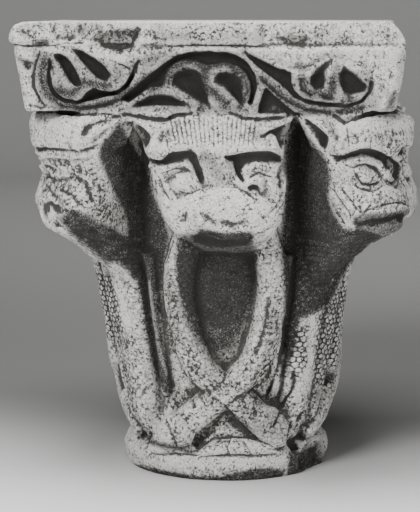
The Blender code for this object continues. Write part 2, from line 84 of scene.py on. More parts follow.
def place(angle: float, across: float, out: float, up: float) -> Vector:
    """Find the point on the side of the stone that an angle names.

    Args:
        angle: Degrees about the axis, 0 for the front face and 90 for the right one.
        across: Distance to the right of the side's middle line.
        out: Distance out from the axis.
        up: Height.

    Returns:
        The point in the stone's frame.
    """
    turn = math.radians(angle)
    return Vector((out * math.sin(turn) + across * math.cos(turn),
                   across * math.sin(turn) - out * math.cos(turn), up))


def smooth_rows(rows: list | tuple | np.ndarray, steps: int) -> np.ndarray:
    """Read rows of numbers at even steps along a smooth curve through all of them.

    Args:
        rows: The rows that the curve passes through.
        steps: How many rows to read.

    Returns:
        The rows read, as an array.
    """
    rows = np.array(rows, float)
    ends = np.vstack([2 * rows[0] - rows[1], rows, 2 * rows[-1] - rows[-2]])
    found = []
    for along in np.linspace(0, len(rows) - 1, steps):
        i = min(int(along), len(rows) - 2)
        t = along - i
        a, b, c, d = ends[i:i + 4]
        found.append(0.5 * (2 * b + (c - a) * t + (2 * a - 5 * b + 4 * c - d) * t ** 2
                            + (3 * b - a - 3 * c + d) * t ** 3))
    return np.array(found)


def smooth_step(values: np.ndarray, low: float, high: float) -> np.ndarray:
    """Rise smoothly from 0 at the low value to 1 at the high one.

    Args:
        values: Where to read the step.
        low: The value where it starts.
        high: The value where it ends.

    Returns:
        Numbers from 0 to 1.
    """
    share = np.clip((values - low) / (high - low), 0, 1)
    return share * share * (3 - 2 * share)


def closed(shape: bmesh.types.BMesh) -> bpy.types.Mesh:
    """Turn a bmesh's faces outwards and give its mesh.

    Args:
        shape: The bmesh, which is freed.

    Returns:
        The mesh.
    """
    bmesh.ops.recalc_face_normals(shape, faces=shape.faces)
    mesh = bpy.data.meshes.new("shell")
    shape.to_mesh(mesh)
    shape.free()
    return mesh


def loft(rings: list) -> bpy.types.Mesh:
    """Bend a grid round rings of points, weld its seam and fill its ends.

    Args:
        rings: The rings in order, each with as many points.

    Returns:
        The closed shell's mesh.
    """
    sides = len(rings[0])
    shape = bmesh.new()
    bmesh.ops.create_grid(shape, x_segments=sides, y_segments=len(rings) - 1, size=1)
    shape.verts.ensure_lookup_table()
    for row, ring in enumerate(rings):
        for column in range(sides + 1):
            shape.verts[row * (sides + 1) + column].co = ring[column % sides]
    bmesh.ops.remove_doubles(shape, verts=shape.verts, dist=1e-6)
    bmesh.ops.holes_fill(shape, edges=shape.edges, sides=sides)
    return closed(shape)


def ball(centre: Vector, radii: tuple, turn: float = 0.0, tilt: float = 0.0) -> bpy.types.Mesh:
    """Make an ellipsoid, tilted in its own plane and then turned about the vertical.

    Args:
        centre: Its middle.
        radii: Its three half axes.
        turn: Degrees about the vertical.
        tilt: Degrees about its own second axis.

    Returns:
        The shell's mesh.
    """
    shape = bmesh.new()
    matrix = (Matrix.Translation(centre) @ Matrix.Rotation(math.radians(turn), 4, "Z")
              @ Matrix.Rotation(math.radians(tilt), 4, "Y") @ Matrix.Diagonal((*radii, 1)))
    bmesh.ops.create_uvsphere(shape, u_segments=32, v_segments=20, radius=1, matrix=matrix)
    return closed(shape)


def rod(points: list, radii: list, sides: int = 16) -> bpy.types.Mesh:
    """Make a round rod through points.

    Args:
        points: The points of its middle line.
        radii: Its radius at each point.
        sides: How many sides its section has.

    Returns:
        The shell's mesh.
    """
    rings = []
    points = [Vector(point) for point in points]
    for i, (point, radius) in enumerate(zip(points, radii)):
        ahead = (points[min(i + 1, len(points) - 1)] - points[max(i - 1, 0)]).normalized()
        first = ahead.cross(Vector((0.3, 0.2, 1.0) if abs(ahead.z) < 0.9 else (1, 0.2, 0))).normalized()
        second = ahead.cross(first)
        rings.append([point + radius * (first * math.cos(turn) + second * math.sin(turn))
                      for turn in np.linspace(0, 2 * math.pi, sides, endpoint=False)])
    return loft(rings)


def smooth_rod(points: list, radii: list, steps: int = 24) -> bpy.types.Mesh:
    """Make a rod along a smooth curve through a few points.

    Args:
        points: The curve's points.
        radii: The radius at each.
        steps: How many rings the rod has.

    Returns:
        The shell's mesh.
    """
    rows = smooth_rows([(*point, radius) for point, radius in zip(points, radii)], steps)
    return rod([row[:3] for row in rows], [float(row[3]) for row in rows])


@dataclass(frozen=True)
class Sight:
    """The photograph's line of sight: where the camera stands and what its pixels see."""

    width_px: int = 420
    height_px: int = 512
    focal_px: float = 1780.0
    sensor_mm: float = 36.0
    distance: float = 1.7
    side_angle: float = 3.0
    height: float = 0.432
    target: tuple = (-0.0155, 0.0, 0.197)

    @property
    def eye(self) -> Vector:
        """Where the camera stands."""
        return place(self.side_angle, 0, self.distance, self.height)

    @property
    def lens_mm(self) -> float:
        """The focal length for this sensor."""
        return self.focal_px * self.sensor_mm / self.height_px

    def project(self, points: np.ndarray) -> np.ndarray:
        """See where points land in the picture.

        Args:
            points: Points in the stone's frame, one a row.

        Returns:
            Their pixels, one a row.
        """
        ahead = (Vector(self.target) - self.eye).normalized()
        right = ahead.cross(Vector((0, 0, 1))).normalized()
        upward = right.cross(ahead)
        seen = points - np.array(self.eye)
        depth = seen @ np.array(ahead)
        return np.stack([self.width_px / 2 + self.focal_px * (seen @ np.array(right)) / depth,
                         self.height_px / 2 - self.focal_px * (seen @ np.array(upward)) / depth], axis=1)


@dataclass
class Bell:
    """The bell behind the beasts and the astragal's round below it."""

    foot_radius: float = 0.083
    top_radius: float = 0.120
    astragal_diameter: float = 0.199
    astragal_height: float = 0.030
    soffit: float = 0.345
    overlap: float = 0.006
    upper_rounding: float = 0.85
    lower_rounding: float = 0.40
    profile: tuple = ((0.00, 0.00), (0.05, 0.03), (0.165, 0.20), (0.31, 0.41), (0.45, 0.64),
                      (0.57, 0.84), (0.72, 0.88), (1.00, 1.00))

    def radius(self, up: float) -> float:
        """Find the radius of the bell's ground at a height.

        Args:
            up: The height.

        Returns:
            The radius.
        """
        share = (up - self.astragal_height) / (self.soffit - self.astragal_height)
        swelling = np.interp(share, [row[0] for row in self.profile], [row[1] for row in self.profile])
        return self.foot_radius + (self.top_radius - self.foot_radius) * float(swelling)

    def shells(self) -> list:
        """Spin the bell's and the astragal's outline about the axis.

        Returns:
            The shells' meshes.
        """
        half = self.astragal_height / 2
        outline = [(0, self.soffit + self.overlap), (self.top_radius, self.soffit + self.overlap)]
        rise = self.soffit - self.astragal_height
        for share in np.linspace(1, 0.02, 24):
            up = self.astragal_height + rise * share
            outline.append((self.radius(up), up))
        for turn in np.radians(np.linspace(90, -90, 13)):
            rounding = self.upper_rounding if turn > 0 else self.lower_rounding
            outline.append((self.astragal_diameter / 2 - half * (1 - math.cos(turn)) * rounding,
                            half + half * math.sin(turn)))
        outline += [(outline[-1][0], -self.overlap), (0, -self.overlap)]
        shape = bmesh.new()
        spots = [shape.verts.new((radius, 0, up)) for radius, up in outline]
        edges = [shape.edges.new(pair) for pair in zip(spots, spots[1:])]
        bmesh.ops.spin(shape, geom=spots + edges, cent=(0, 0, 0), axis=(0, 0, 1), dvec=(0, 0, 0),
                       angle=2 * math.pi, steps=96, use_merge=True, use_duplicate=False)
        bmesh.ops.remove_doubles(shape, verts=shape.verts, dist=1e-5)
        return [closed(shape)]


@dataclass
class Impost:
    """The square impost: a plain band over an incised line, and a sloping face below it."""

    width: float = 0.343
    height: float = 0.077
    top: float = 0.422
    band_height: float = 0.019
    set_back: float = 0.013
    shift: float = -0.009
    line: float = 0.0035
    blunting: float = 0.006
    overlap: float = 0.006

    @property
    def soffit(self) -> float:
        """The height of the impost's underside."""
        return self.top - self.height

    @property
    def band_foot(self) -> float:
        """The height of the line under the plain band."""
        return self.top - self.band_height

    def plane(self, up: float) -> float:
        """Find how far out the relief's outer surface stands at a height."""
        share = (up - self.soffit) / (self.band_foot - self.soffit)
        return self.width / 2 - self.set_back + (self.set_back - self.line) * share

    def ring(self, half: float, up: float) -> list:
        """Draw a square section with its corners taken off a little.

        Args:
            half: Half its width.
            up: Its height.

        Returns:
            Its points in order.
        """
        corners = []
        for angle in FACE_ANGLES:
            for across in (-half + self.blunting, half - self.blunting):
                corners.append(place(angle, across, half, up) + Vector((self.shift, 0, 0)))
        return corners

    def shells(self) -> list:
        """Stack the impost's sections.

        Returns:
            The shells' meshes.
        """
        vine_top = self.band_foot - self.line
        return [loft([self.ring(self.plane(self.soffit), self.soffit),
                      self.ring(self.plane(vine_top), vine_top),
                      self.ring(self.plane(self.band_foot) - self.line, self.band_foot - self.line / 2),
                      self.ring(self.width / 2, self.band_foot + self.line / 2),
                      self.ring(self.width / 2, self.top + self.overlap)])]


FACE_PROFILE = (
    (-0.14, 0.50, 0.62, 0.95), (-0.06, 0.55, 0.77, 0.85), (0.01, 0.62, 0.89, 0.75),
    (0.08, 0.76, 0.97, 0.60), (0.19, 0.88, 0.985, 0.50), (0.32, 0.94, 0.955, 0.50),
    (0.46, 0.98, 0.925, 0.50), (0.62, 1.00, 0.925, 0.50), (0.72, 1.04, 0.945, 0.50),
    (0.82, 1.08, 0.905, 0.50), (0.92, 1.12, 0.88, 0.55), (1.00, 1.16, 0.865, 0.60),
    (1.06, 1.16, 0.82, 0.60))
CORNER_PROFILE = (
    (-0.55, 0.26, 0.53, 1.00), (-0.30, 0.38, 0.66, 1.00), (-0.16, 0.48, 0.77, 0.95),
    (-0.06, 0.56, 0.84, 0.85), (0.02, 0.64, 0.92, 0.75), (0.10, 0.70, 0.985, 0.65),
    (0.20, 0.76, 1.00, 0.60), (0.32, 0.86, 0.985, 0.50), (0.46, 0.94, 0.945, 0.50),
    (0.62, 1.04, 0.965, 0.50), (0.73, 1.10, 1.00, 0.50), (0.83, 1.16, 1.00, 0.50),
    (0.90, 1.22, 0.995, 0.55), (0.95, 1.19, 0.975, 0.60), (1.00, 1.04, 0.92, 0.60),
    (1.05, 0.76, 0.84, 0.60))
HEAD_PLAN = ((0.86, 0.00), (0.86, 0.30), (0.94, 0.52), (0.98, 0.70), (1.00, 0.80),
             (0.94, 0.905), (0.76, 0.965), (0.42, 0.995), (0.00, 1.00))
PINCHED_POINTS = (1.0, 1.0, 0.72, 0.15, 0.0, 0.0, 0.0, 0.0, 0.0)
# Corners of an ear's plate: distance to the side and out from the axis, then height share
FACE_EAR = ((0.075, 0.157, 1.00), (0.057, 0.158, 0.70), (0.035, 0.160, 1.02), (0.040, 0.163, 0.75))
CORNER_EAR = ((0.058, 0.164, 1.00), (0.042, 0.171, 0.69), (0.042, 0.190, 1.02), (0.043, 0.192, 0.72))


@dataclass
class BeastHead:
    """One beast's head: where it looks, its size, its sections and how far it leans aside."""

    angle: float
    width: float
    reach: float
    profile: tuple
    lean_low: float = 0.0
    lean_high: float = 0.0
    broken: bool = False
    height: float = 0.114
    chin: float = 0.231
    root: float = 0.060
    eye_radius: float = 0.0105
    eye_side: float = 0.49
    eye_height: float = 0.45
    eye_turn: float = 8.0
    ear_thickness: float = 0.014
    # Height share, depth below the front and radius, the last two as shares of the half width
    bridge: tuple = ((0.74, 0.20, 0.26), (0.58, 0.17, 0.27), (0.42, 0.26, 0.30))
    muzzle_height: float = 0.235
    muzzle_below: float = 0.009
    muzzle_depth: float = 0.0135
    muzzle_width_share: float = 0.79
    muzzle_height_share: float = 0.21

    @property
    def corner(self) -> bool:
        """Whether the head juts out at a corner."""
        return self.angle % 90 != 0

    def section(self, height: float) -> list:
        """Read half width and reach of the head's section at a share of its height."""
        rows = np.array(self.profile)
        return [float(np.interp(height, rows[:, 0], rows[:, column])) for column in (1, 2)]

    def at(self, across: float, out: float, height: float) -> Vector:
        """Find a point by its distances from the middle plane and the axis, and its height share."""
        lean = self.lean_low + (self.lean_high - self.lean_low) * height
        return place(self.angle, lean + across, out, self.chin + self.height * height)

    def on_front(self, share: float, height: float, below: float = 0.0) -> Vector:
        """Find a point on the head's front.

        Args:
            share: Share of the half width to the right of the middle.
            height: Share of the head's height.
            below: Distance under the surface.

        Returns:
            The point.
        """
        wide, far = self.section(height)
        front = np.array(HEAD_PLAN[4:])[::-1]
        depth = float(np.interp(abs(share), front[:, 0], front[:, 1]))
        out = self.root + (self.reach * far - self.root) * depth - below
        return self.at(self.width / 2 * wide * share, out, height)

    def mass(self) -> bpy.types.Mesh:
        """Loft the head's mass from the neck up to under the impost.

        Returns:
            The shell's mesh.
        """
        rings = []
        for height, wide, far, waist in smooth_rows(self.profile, 48):
            side = [(half * (1 - pinch * (1 - waist)), depth)
                    for (half, depth), pinch in zip(HEAD_PLAN, PINCHED_POINTS)]
            side = smooth_rows(side, 33)
            outline = [*side, *[(-half, depth) for half, depth in side[-2::-1]]]
            rings.append([self.at(self.width / 2 * wide * half,
                                  self.root + (self.reach * far - self.root) * depth, height)
                          for half, depth in outline])
        return loft(rings)

    def ear(self, side: int) -> bpy.types.Mesh:
        """Stretch a thin hull over the corners of one ear.

        Args:
            side: -1 for the left ear and 1 for the right one.

        Returns:
            The shell's mesh.
        """
        shape = bmesh.new()
        for across, out, height in CORNER_EAR if self.corner else FACE_EAR:
            for back in (0, self.ear_thickness):
                shape.verts.new(self.at(side * across, out - back, height))
        bmesh.ops.convex_hull(shape, input=shape.verts)
        return closed(shape)

    def shells(self) -> list:
        """Build the head's mass and what is raised on it.

        Returns:
            The shells' meshes.
        """
        half = self.width / 2
        shells = [self.mass()]
        for side in (-1, 1):
            shells.append(self.ear(side))
            if not self.corner:
                size = self.eye_radius
                shells.append(ball(self.on_front(side * self.eye_side, self.eye_height),
                                   (size * 1.2, size * 0.8, size * 0.8),
                                   self.angle + side * self.eye_turn))
        if self.broken:
            return shells
        ridge = [self.on_front(0, height, half * below) for height, below, _ in self.bridge]
        shells.append(smooth_rod(ridge, [half * radius for _, _, radius in self.bridge]))
        muzzle = self.on_front(0, self.muzzle_height, self.muzzle_below)
        shells.append(ball(muzzle, (half * self.muzzle_width_share, self.muzzle_depth,
                                    self.height * self.muzzle_height_share), self.angle))
        return shells


BODY_PATH = ((15, 1.02, 1.0), (18.5, 0.93, 1.0), (21.3, 0.84, 1.0), (21.8, 0.74, 1.0),
             (19.7, 0.61, 1.0), (14.2, 0.475, 1.0), (1.5, 0.385, 1.0), (-13.5, 0.290, 1.0),
             (-26, 0.215, 1.0), (-36, 0.155, 0.7))
CORNER_BODY_PATH = ((0, 1.00, 1.0), (0, 0.85, 1.0), (0, 0.64, 0.95), (0, 0.43, 0.85),
                    (0.5, 0.27, 0.66), (1.0, 0.175, 0.42), (1.2, 0.14, 0.2))
# The swelling that joins a corner's body to the next face's band at the front corners
FLANK_PATH = ((57, 0.99, 0.9), (57, 0.85, 1.0), (57.5, 0.64, 1.0), (57, 0.43, 0.95),
              (54, 0.27, 0.7), (50, 0.165, 0.35))


@dataclass
class Bodies:
    """The beasts' bodies on the bell: crossing bands, corner bodies and stalks."""

    bell: Bell
    chin: float = 0.231
    band_width: float = 0.028
    relief: float = 0.020
    corner_width: float = 0.038
    flank_width: float = 0.036
    stalk_radius: float = 0.0045
    stalk_angle: float = 31.5
    stalk_rings: int = 20
    front_shift: float = 2.8
    left_corner_shift: float = -4.5
    left_stalk_shift: float = -2.5
    ring_sides: int = 36

    def section(self, angle: float, up: float, heading: float, width: float, relief: float) -> list:
        """Draw a section of a body that lies on the bell.

        Args:
            angle: Degrees about the axis.
            up: Height.
            heading: Radians from the vertical in which the body runs.
            width: Its width.
            relief: How far it stands out.

        Returns:
            The section's points.
        """
        ring = []
        radius = self.bell.radius(up)
        squareness = 2 / 2.4
        for turn in np.linspace(0, 2 * math.pi, self.ring_sides, endpoint=False):
            c = math.copysign(abs(math.cos(turn)) ** squareness, math.cos(turn))
            s = math.copysign(abs(math.sin(turn)) ** squareness, math.sin(turn))
            side = width / 2 * c
            out = relief * s if s > 0 else self.bell.overlap * 1.5 * s
            ring.append(place(angle + math.degrees(side * math.cos(heading) / radius), 0, radius + out,
                              up + side * math.sin(heading)))
        return ring

    def body(self, angle: float, path: list, width: float, relief: float) -> bpy.types.Mesh:
        """Loft a body along a path on the bell.

        Args:
            angle: Degrees of the middle line that the path is drawn from.
            path: Degrees, height and width share at each of its points.
            width: The body's full width.
            relief: How far it stands out.

        Returns:
            The shell's mesh.
        """
        rows = smooth_rows(path, 60)
        rings = []
        for i, (degrees, up, share) in enumerate(rows):
            before = rows[max(i - 1, 0)]
            after = rows[min(i + 1, len(rows) - 1)]
            run = math.radians(after[0] - before[0]) * self.bell.radius(up)
            heading = math.atan2(run, before[1] - after[1])
            rings.append(self.section(angle + degrees, up, heading, width * share,
                                      relief * min(1, share * 1.6)))
        return loft(rings)

    def face_shells(self, angle: float, shift: float) -> list:
        """Build what lies under one face's head.

        Args:
            angle: The face's angle.
            shift: Degrees that its bodies are shifted by.

        Returns:
            The shells' meshes.
        """
        shells = []
        for side, relief in ((-1, self.relief * 0.86), (1, self.relief)):
            path = [(side * degrees + shift, self.chin * height, share)
                    for degrees, height, share in BODY_PATH]
            shells.append(self.body(angle, path, self.band_width, relief))
            points = []
            turn = angle + side * self.stalk_angle
            if angle == 0 and side == -1:
                turn += self.left_stalk_shift
            for height in np.linspace(0.92, 0.33, self.stalk_rings):
                up = self.chin * height
                points.append(place(turn, 0, self.bell.radius(up) + self.stalk_radius * 0.6, up))
            shells.append(rod(points, [self.stalk_radius] * (self.stalk_rings - 1)
                              + [self.stalk_radius * 0.5]))
        return shells

    def corner_shells(self, angle: float) -> list:
        """Build the single body under a corner head.

        Args:
            angle: The corner's angle.

        Returns:
            The shell's mesh, in a list.
        """
        shift = self.left_corner_shift if angle == 315 else 0
        path = [(degrees + shift, self.chin * height, share)
                for degrees, height, share in CORNER_BODY_PATH]
        return [self.body(angle, path, self.corner_width, self.relief)]

    def flank_shells(self) -> list:
        """Build the swellings beside the two front corners' bodies.

        Returns:
            The shells' meshes.
        """
        return [self.body(0, [(side * degrees, self.chin * height, share)
                              for degrees, height, share in FLANK_PATH], self.flank_width,
                          self.relief * 0.95) for side in (-1, 1)]


class Edge(Enum):
    """How the floor of a stroke meets its sides."""

    ROUND = "round"
    SOFT = "soft"
    FLAT = "flat"
    SHARP = "sharp"

    def depth(self, share: np.ndarray) -> np.ndarray:
        """Read the stroke's depth across its width.

        Args:
            share: Distance from the middle line, as a share of the half width.

        Returns:
            Depth as a share of the full depth.
        """
        inside = np.clip(1 - share, 0, 1)
        if self is Edge.ROUND:
            return np.sqrt(np.clip(1 - share ** 2, 0, 1))
        if self is Edge.SOFT:
            return smooth_step(inside, 0, 1)
        if self is Edge.FLAT:
            return smooth_step(inside, 0, 0.4)
        return inside


@dataclass(frozen=True)
class Stroke:
    """One stroke of the chisel, drawn on the photograph: points with their half width, in pixels.

    A filled stroke sinks all that its points go round, and the third number is its rim's width.
    """

    points: tuple
    depth_mm: float
    edge: Edge = Edge.ROUND
    filled: bool = False

    def read(self, pixels: np.ndarray) -> np.ndarray:
        """Read how deep the stroke cuts.

        Args:
            pixels: Where the stone's points land in the picture, one a row.

        Returns:
            Depth as a share of the full depth, one for each point.
        """
        rows = np.array(self.points, float)
        if self.filled:
            rows = np.vstack([rows, rows[:1]])
        elif len(rows) == 1:
            rows = np.vstack([rows, rows + (0.01, 0, 0)])
        share = np.full(len(pixels), 9.0)
        inside = np.zeros(len(pixels), bool)
        for (ax, ay, aw), (bx, by, bw) in zip(rows, rows[1:]):
            run = np.array((bx - ax, by - ay))
            along = np.clip(((pixels - (ax, ay)) @ run) / (run @ run), 0, 1)
            gap = pixels - (np.array((ax, ay)) + along[:, None] * run)
            width = aw + (bw - aw) * along
            share = np.minimum(share, np.hypot(gap[:, 0], gap[:, 1]) / width)
            if ay != by:
                passed = (ay > pixels[:, 1]) != (by > pixels[:, 1])
                inside ^= passed & (pixels[:, 0] < ax + (pixels[:, 1] - ay) * (bx - ax) / (by - ay))
        if self.filled:
            share = np.where(inside, np.clip(1 - share, 0, 1), 2.0)
        return self.edge.depth(share)

    def bounds(self) -> tuple:
        """Find the lowest and highest pixel that the stroke reaches.

        Returns:
            The two corners of the box round it.
        """
        rows = np.array(self.points, float)
        reach = rows[:, 2].max() + 1
        return rows[:, :2].min(axis=0) - reach, rows[:, :2].max(axis=0) + reach


def strokes(depth_mm: float, edge: Edge, *lines: tuple) -> list:
    """Draw several strokes alike.

    Args:
        depth_mm: Their depth, below zero for what stands proud.
        edge: How their floors meet their sides.
        lines: The points of each stroke.

    Returns:
        The strokes.
    """
    return [Stroke(points, depth_mm, edge) for points in lines]


def hollows(depth_mm: float, edge: Edge, rim: float, *outlines: tuple) -> list:
    """Sink the insides of several outlines alike.

    Args:
        depth_mm: Their depth, below zero for what stands proud.
        edge: How their floors meet their sides.
        rim: The width of their sides, in pixels.
        outlines: The points that go round each.

    Returns:
        The filled strokes.
    """
    return [Stroke(tuple((x, y, rim) for x, y in outline), depth_mm, edge, True)
            for outline in outlines]


# The vine on the impost: deep gaps between stem and leaves, and the hollows in the leaves
VINE_LEFT = [
    *strokes(5.0, Edge.ROUND,
        ((40, 52, 1.2), (36, 62, 1.6), (32.5, 74, 1.8), (34, 88, 1.8), (40, 100, 1.6), (46, 108, 1.3)),
        ((139, 60, 1.5), (135, 68, 2.4), (131, 78, 2.6), (125, 87, 2))),
    *strokes(7.5, Edge.ROUND,
        ((50, 61, 1.6), (48.5, 72, 2), (49.5, 84, 2.2), (54, 94, 2.4), (64, 100.5, 2), (77, 102.5, 1.8),
         (90, 98, 2.5), (105, 95, 2.2), (118, 92, 2.2), (127, 85, 2.4), (132, 76, 2.4))),
    *hollows(8.0, Edge.ROUND, 3.0,
        ((79, 102), (86, 92), (94, 87), (100, 90), (112, 92), (118, 95), (104, 97), (92, 101))),
    *hollows(9.0, Edge.SOFT, 5.0,
        ((50, 54), (60, 52), (69, 57), (75, 65), (80, 75), (83, 86), (74, 88), (67, 82), (62, 73),
         (57, 64)),
        ((68, 47), (81, 48), (94, 56), (106, 65), (112, 75), (107, 83), (96, 80), (87, 71), (77, 60))),
    *hollows(8.5, Edge.ROUND, 3.6,
        ((213, 51), (190, 51.5), (176, 55), (163, 63.5), (150, 74), (135, 86.5), (119, 99.5), (129, 103),
         (140, 95), (150, 87.5), (162, 86.5), (165, 78), (168.5, 69), (176, 63), (186, 60.5), (197, 61.5),
         (206, 64.5), (213, 64.5))),
    *hollows(8.5, Edge.SOFT, 10.0,
        ((167.5, 86), (168.5, 76), (174, 68.5), (184, 64.5), (195, 65.5), (203, 71), (206.5, 80),
         (209, 92), (211, 108), (203, 107), (193, 103), (184, 97), (175, 91))),
    *hollows(7.5, Edge.SOFT, 7.5,
        ((124, 110), (135, 100), (148, 93), (160, 91), (173, 93.5), (184, 99), (194, 107.5), (178, 109),
         (158, 108), (140, 110))),
    *strokes(3.0, Edge.SOFT,
        ((185, 76, 5), (196, 86, 6), (205, 99, 4), (210, 108, 2)),
        ((138, 105, 2), (160, 102.5, 3.4), (184, 104.5, 2))),
    *strokes(2.4, Edge.SHARP,
        ((110, 60, 1), (121, 64.5, 1.6), (130, 69, 1.2)),
        ((52, 66, 2), (53, 74, 2.6)),
        ((15, 44.5, 1), (30, 46.5, 1.4), (50, 46, 1.4), (66, 43, 1.2), (83, 43, 1.2)),
        ((168, 46, 1.2), (190, 45.5, 1.6), (208, 45.6, 1.6))),
    *strokes(1.8, Edge.SOFT,
        ((60, 105, 2.5), (80, 109, 3), (103, 106, 3), (125, 98, 3)))]
VINE_RIGHT = [
    *hollows(8.5, Edge.ROUND, 3.2,
        ((201, 51), (225, 52), (238, 56), (248, 63), (255, 74), (257.5, 88), (252, 105), (247.5, 104),
         (250.5, 92), (249.5, 82), (246, 73.5), (239, 66.5), (226, 62), (214, 64), (206, 65), (201, 63))),
    *hollows(8.5, Edge.SOFT, 10.0,
        ((211, 80), (214, 73), (225, 68), (237, 69.5), (244, 77), (247, 88), (246, 100), (243, 107),
         (236, 105), (229, 99), (222, 91), (214, 86))),
    *strokes(2.5, Edge.SOFT,
        ((221, 76, 6), (231, 85, 7), (238, 96, 5), (241, 103, 3))),
    *hollows(7.5, Edge.ROUND, 3.4,
        ((265, 86), (274, 95), (287, 106), (299, 114.5), (280, 117.5), (257, 118), (259, 104)),
        ((241, 50.5), (256, 57), (276, 67), (292, 72.5), (291.5, 82), (295, 91), (303, 98), (315, 101),
         (330, 103), (347, 104.5), (360, 100), (367, 92), (369, 80), (367, 71), (372, 82), (371, 93),
         (363, 103), (348, 108), (325, 107), (307, 104.5), (294, 98), (284, 88), (272, 78), (256, 66))),
    *hollows(8.0, Edge.SOFT, 7.0,
        ((337, 54), (325, 60), (314, 68), (307, 77), (308, 86), (314, 92), (324, 91), (328, 83), (328, 72)),
        ((343, 63), (352, 68), (361, 76), (371, 86), (366, 94), (352, 97), (342, 94), (337, 82), (338, 71)),
        ((314, 97), (324, 92), (332, 96), (342, 103), (326, 102))),
    *strokes(2.4, Edge.SHARP,
        ((208, 45.6, 1.6), (235, 45.8, 1.6), (258, 46.5, 1))),
    *strokes(2.2, Edge.SOFT,
        ((300, 80, 3), (302, 90, 3), (311, 95, 2.4)),
        ((262, 80, 3), (281, 98, 3), (304, 109, 3), (330, 113, 3))),
    *strokes(-4.0, Edge.SOFT,
        ((266, 113, 4), (274, 108, 7), (284, 113, 5)))]

# Chips out of the front of the impost, which are dark as well
UPPER_CHIPS = (
    ((79, 39), (96, 31), (114, 27), (144, 26), (141, 40), (131, 51), (121, 56), (104, 50), (90, 43)),
    ((31, 37), (52, 36), (53, 46), (39, 51), (29, 47)),
    ((12, 52), (37, 60), (32, 74), (24, 73), (16, 63)))
LOWER_CHIP = ((387, 87), (399, 97), (397, 113), (381, 113))
IMPOST_WEAR = [
    *hollows(5.0, Edge.SOFT, 7.0,
        *UPPER_CHIPS),
    *hollows(2.4, Edge.SOFT, 8.0,
        ((268, 36), (290, 31), (309, 33), (314, 39), (304, 52), (282, 47))),
    *hollows(4.5, Edge.SOFT, 9.0,
        ((252, 8), (430, 8), (430, 50), (330, 50), (300, 52), (256, 50))),
    *hollows(-3.2, Edge.SOFT, 9.0,
        ((262, 40), (312, 42), (390, 42), (398, 70), (378, 72), (352, 60), (326, 56), (308, 68), (286, 68),
         (270, 60))),
    *hollows(5.0, Edge.FLAT, 3.5,
        LOWER_CHIP),
    *strokes(3.5, Edge.SHARP,
        ((137, 28, 3), (134, 40, 4), (130, 52, 2))),
    *strokes(2.5, Edge.SOFT,
        ((30, 105, 4), (42, 108, 3)),
        ((58, 39, 6), (72, 37, 6)),
        ((350, 40, 14), (380, 60, 12)))]

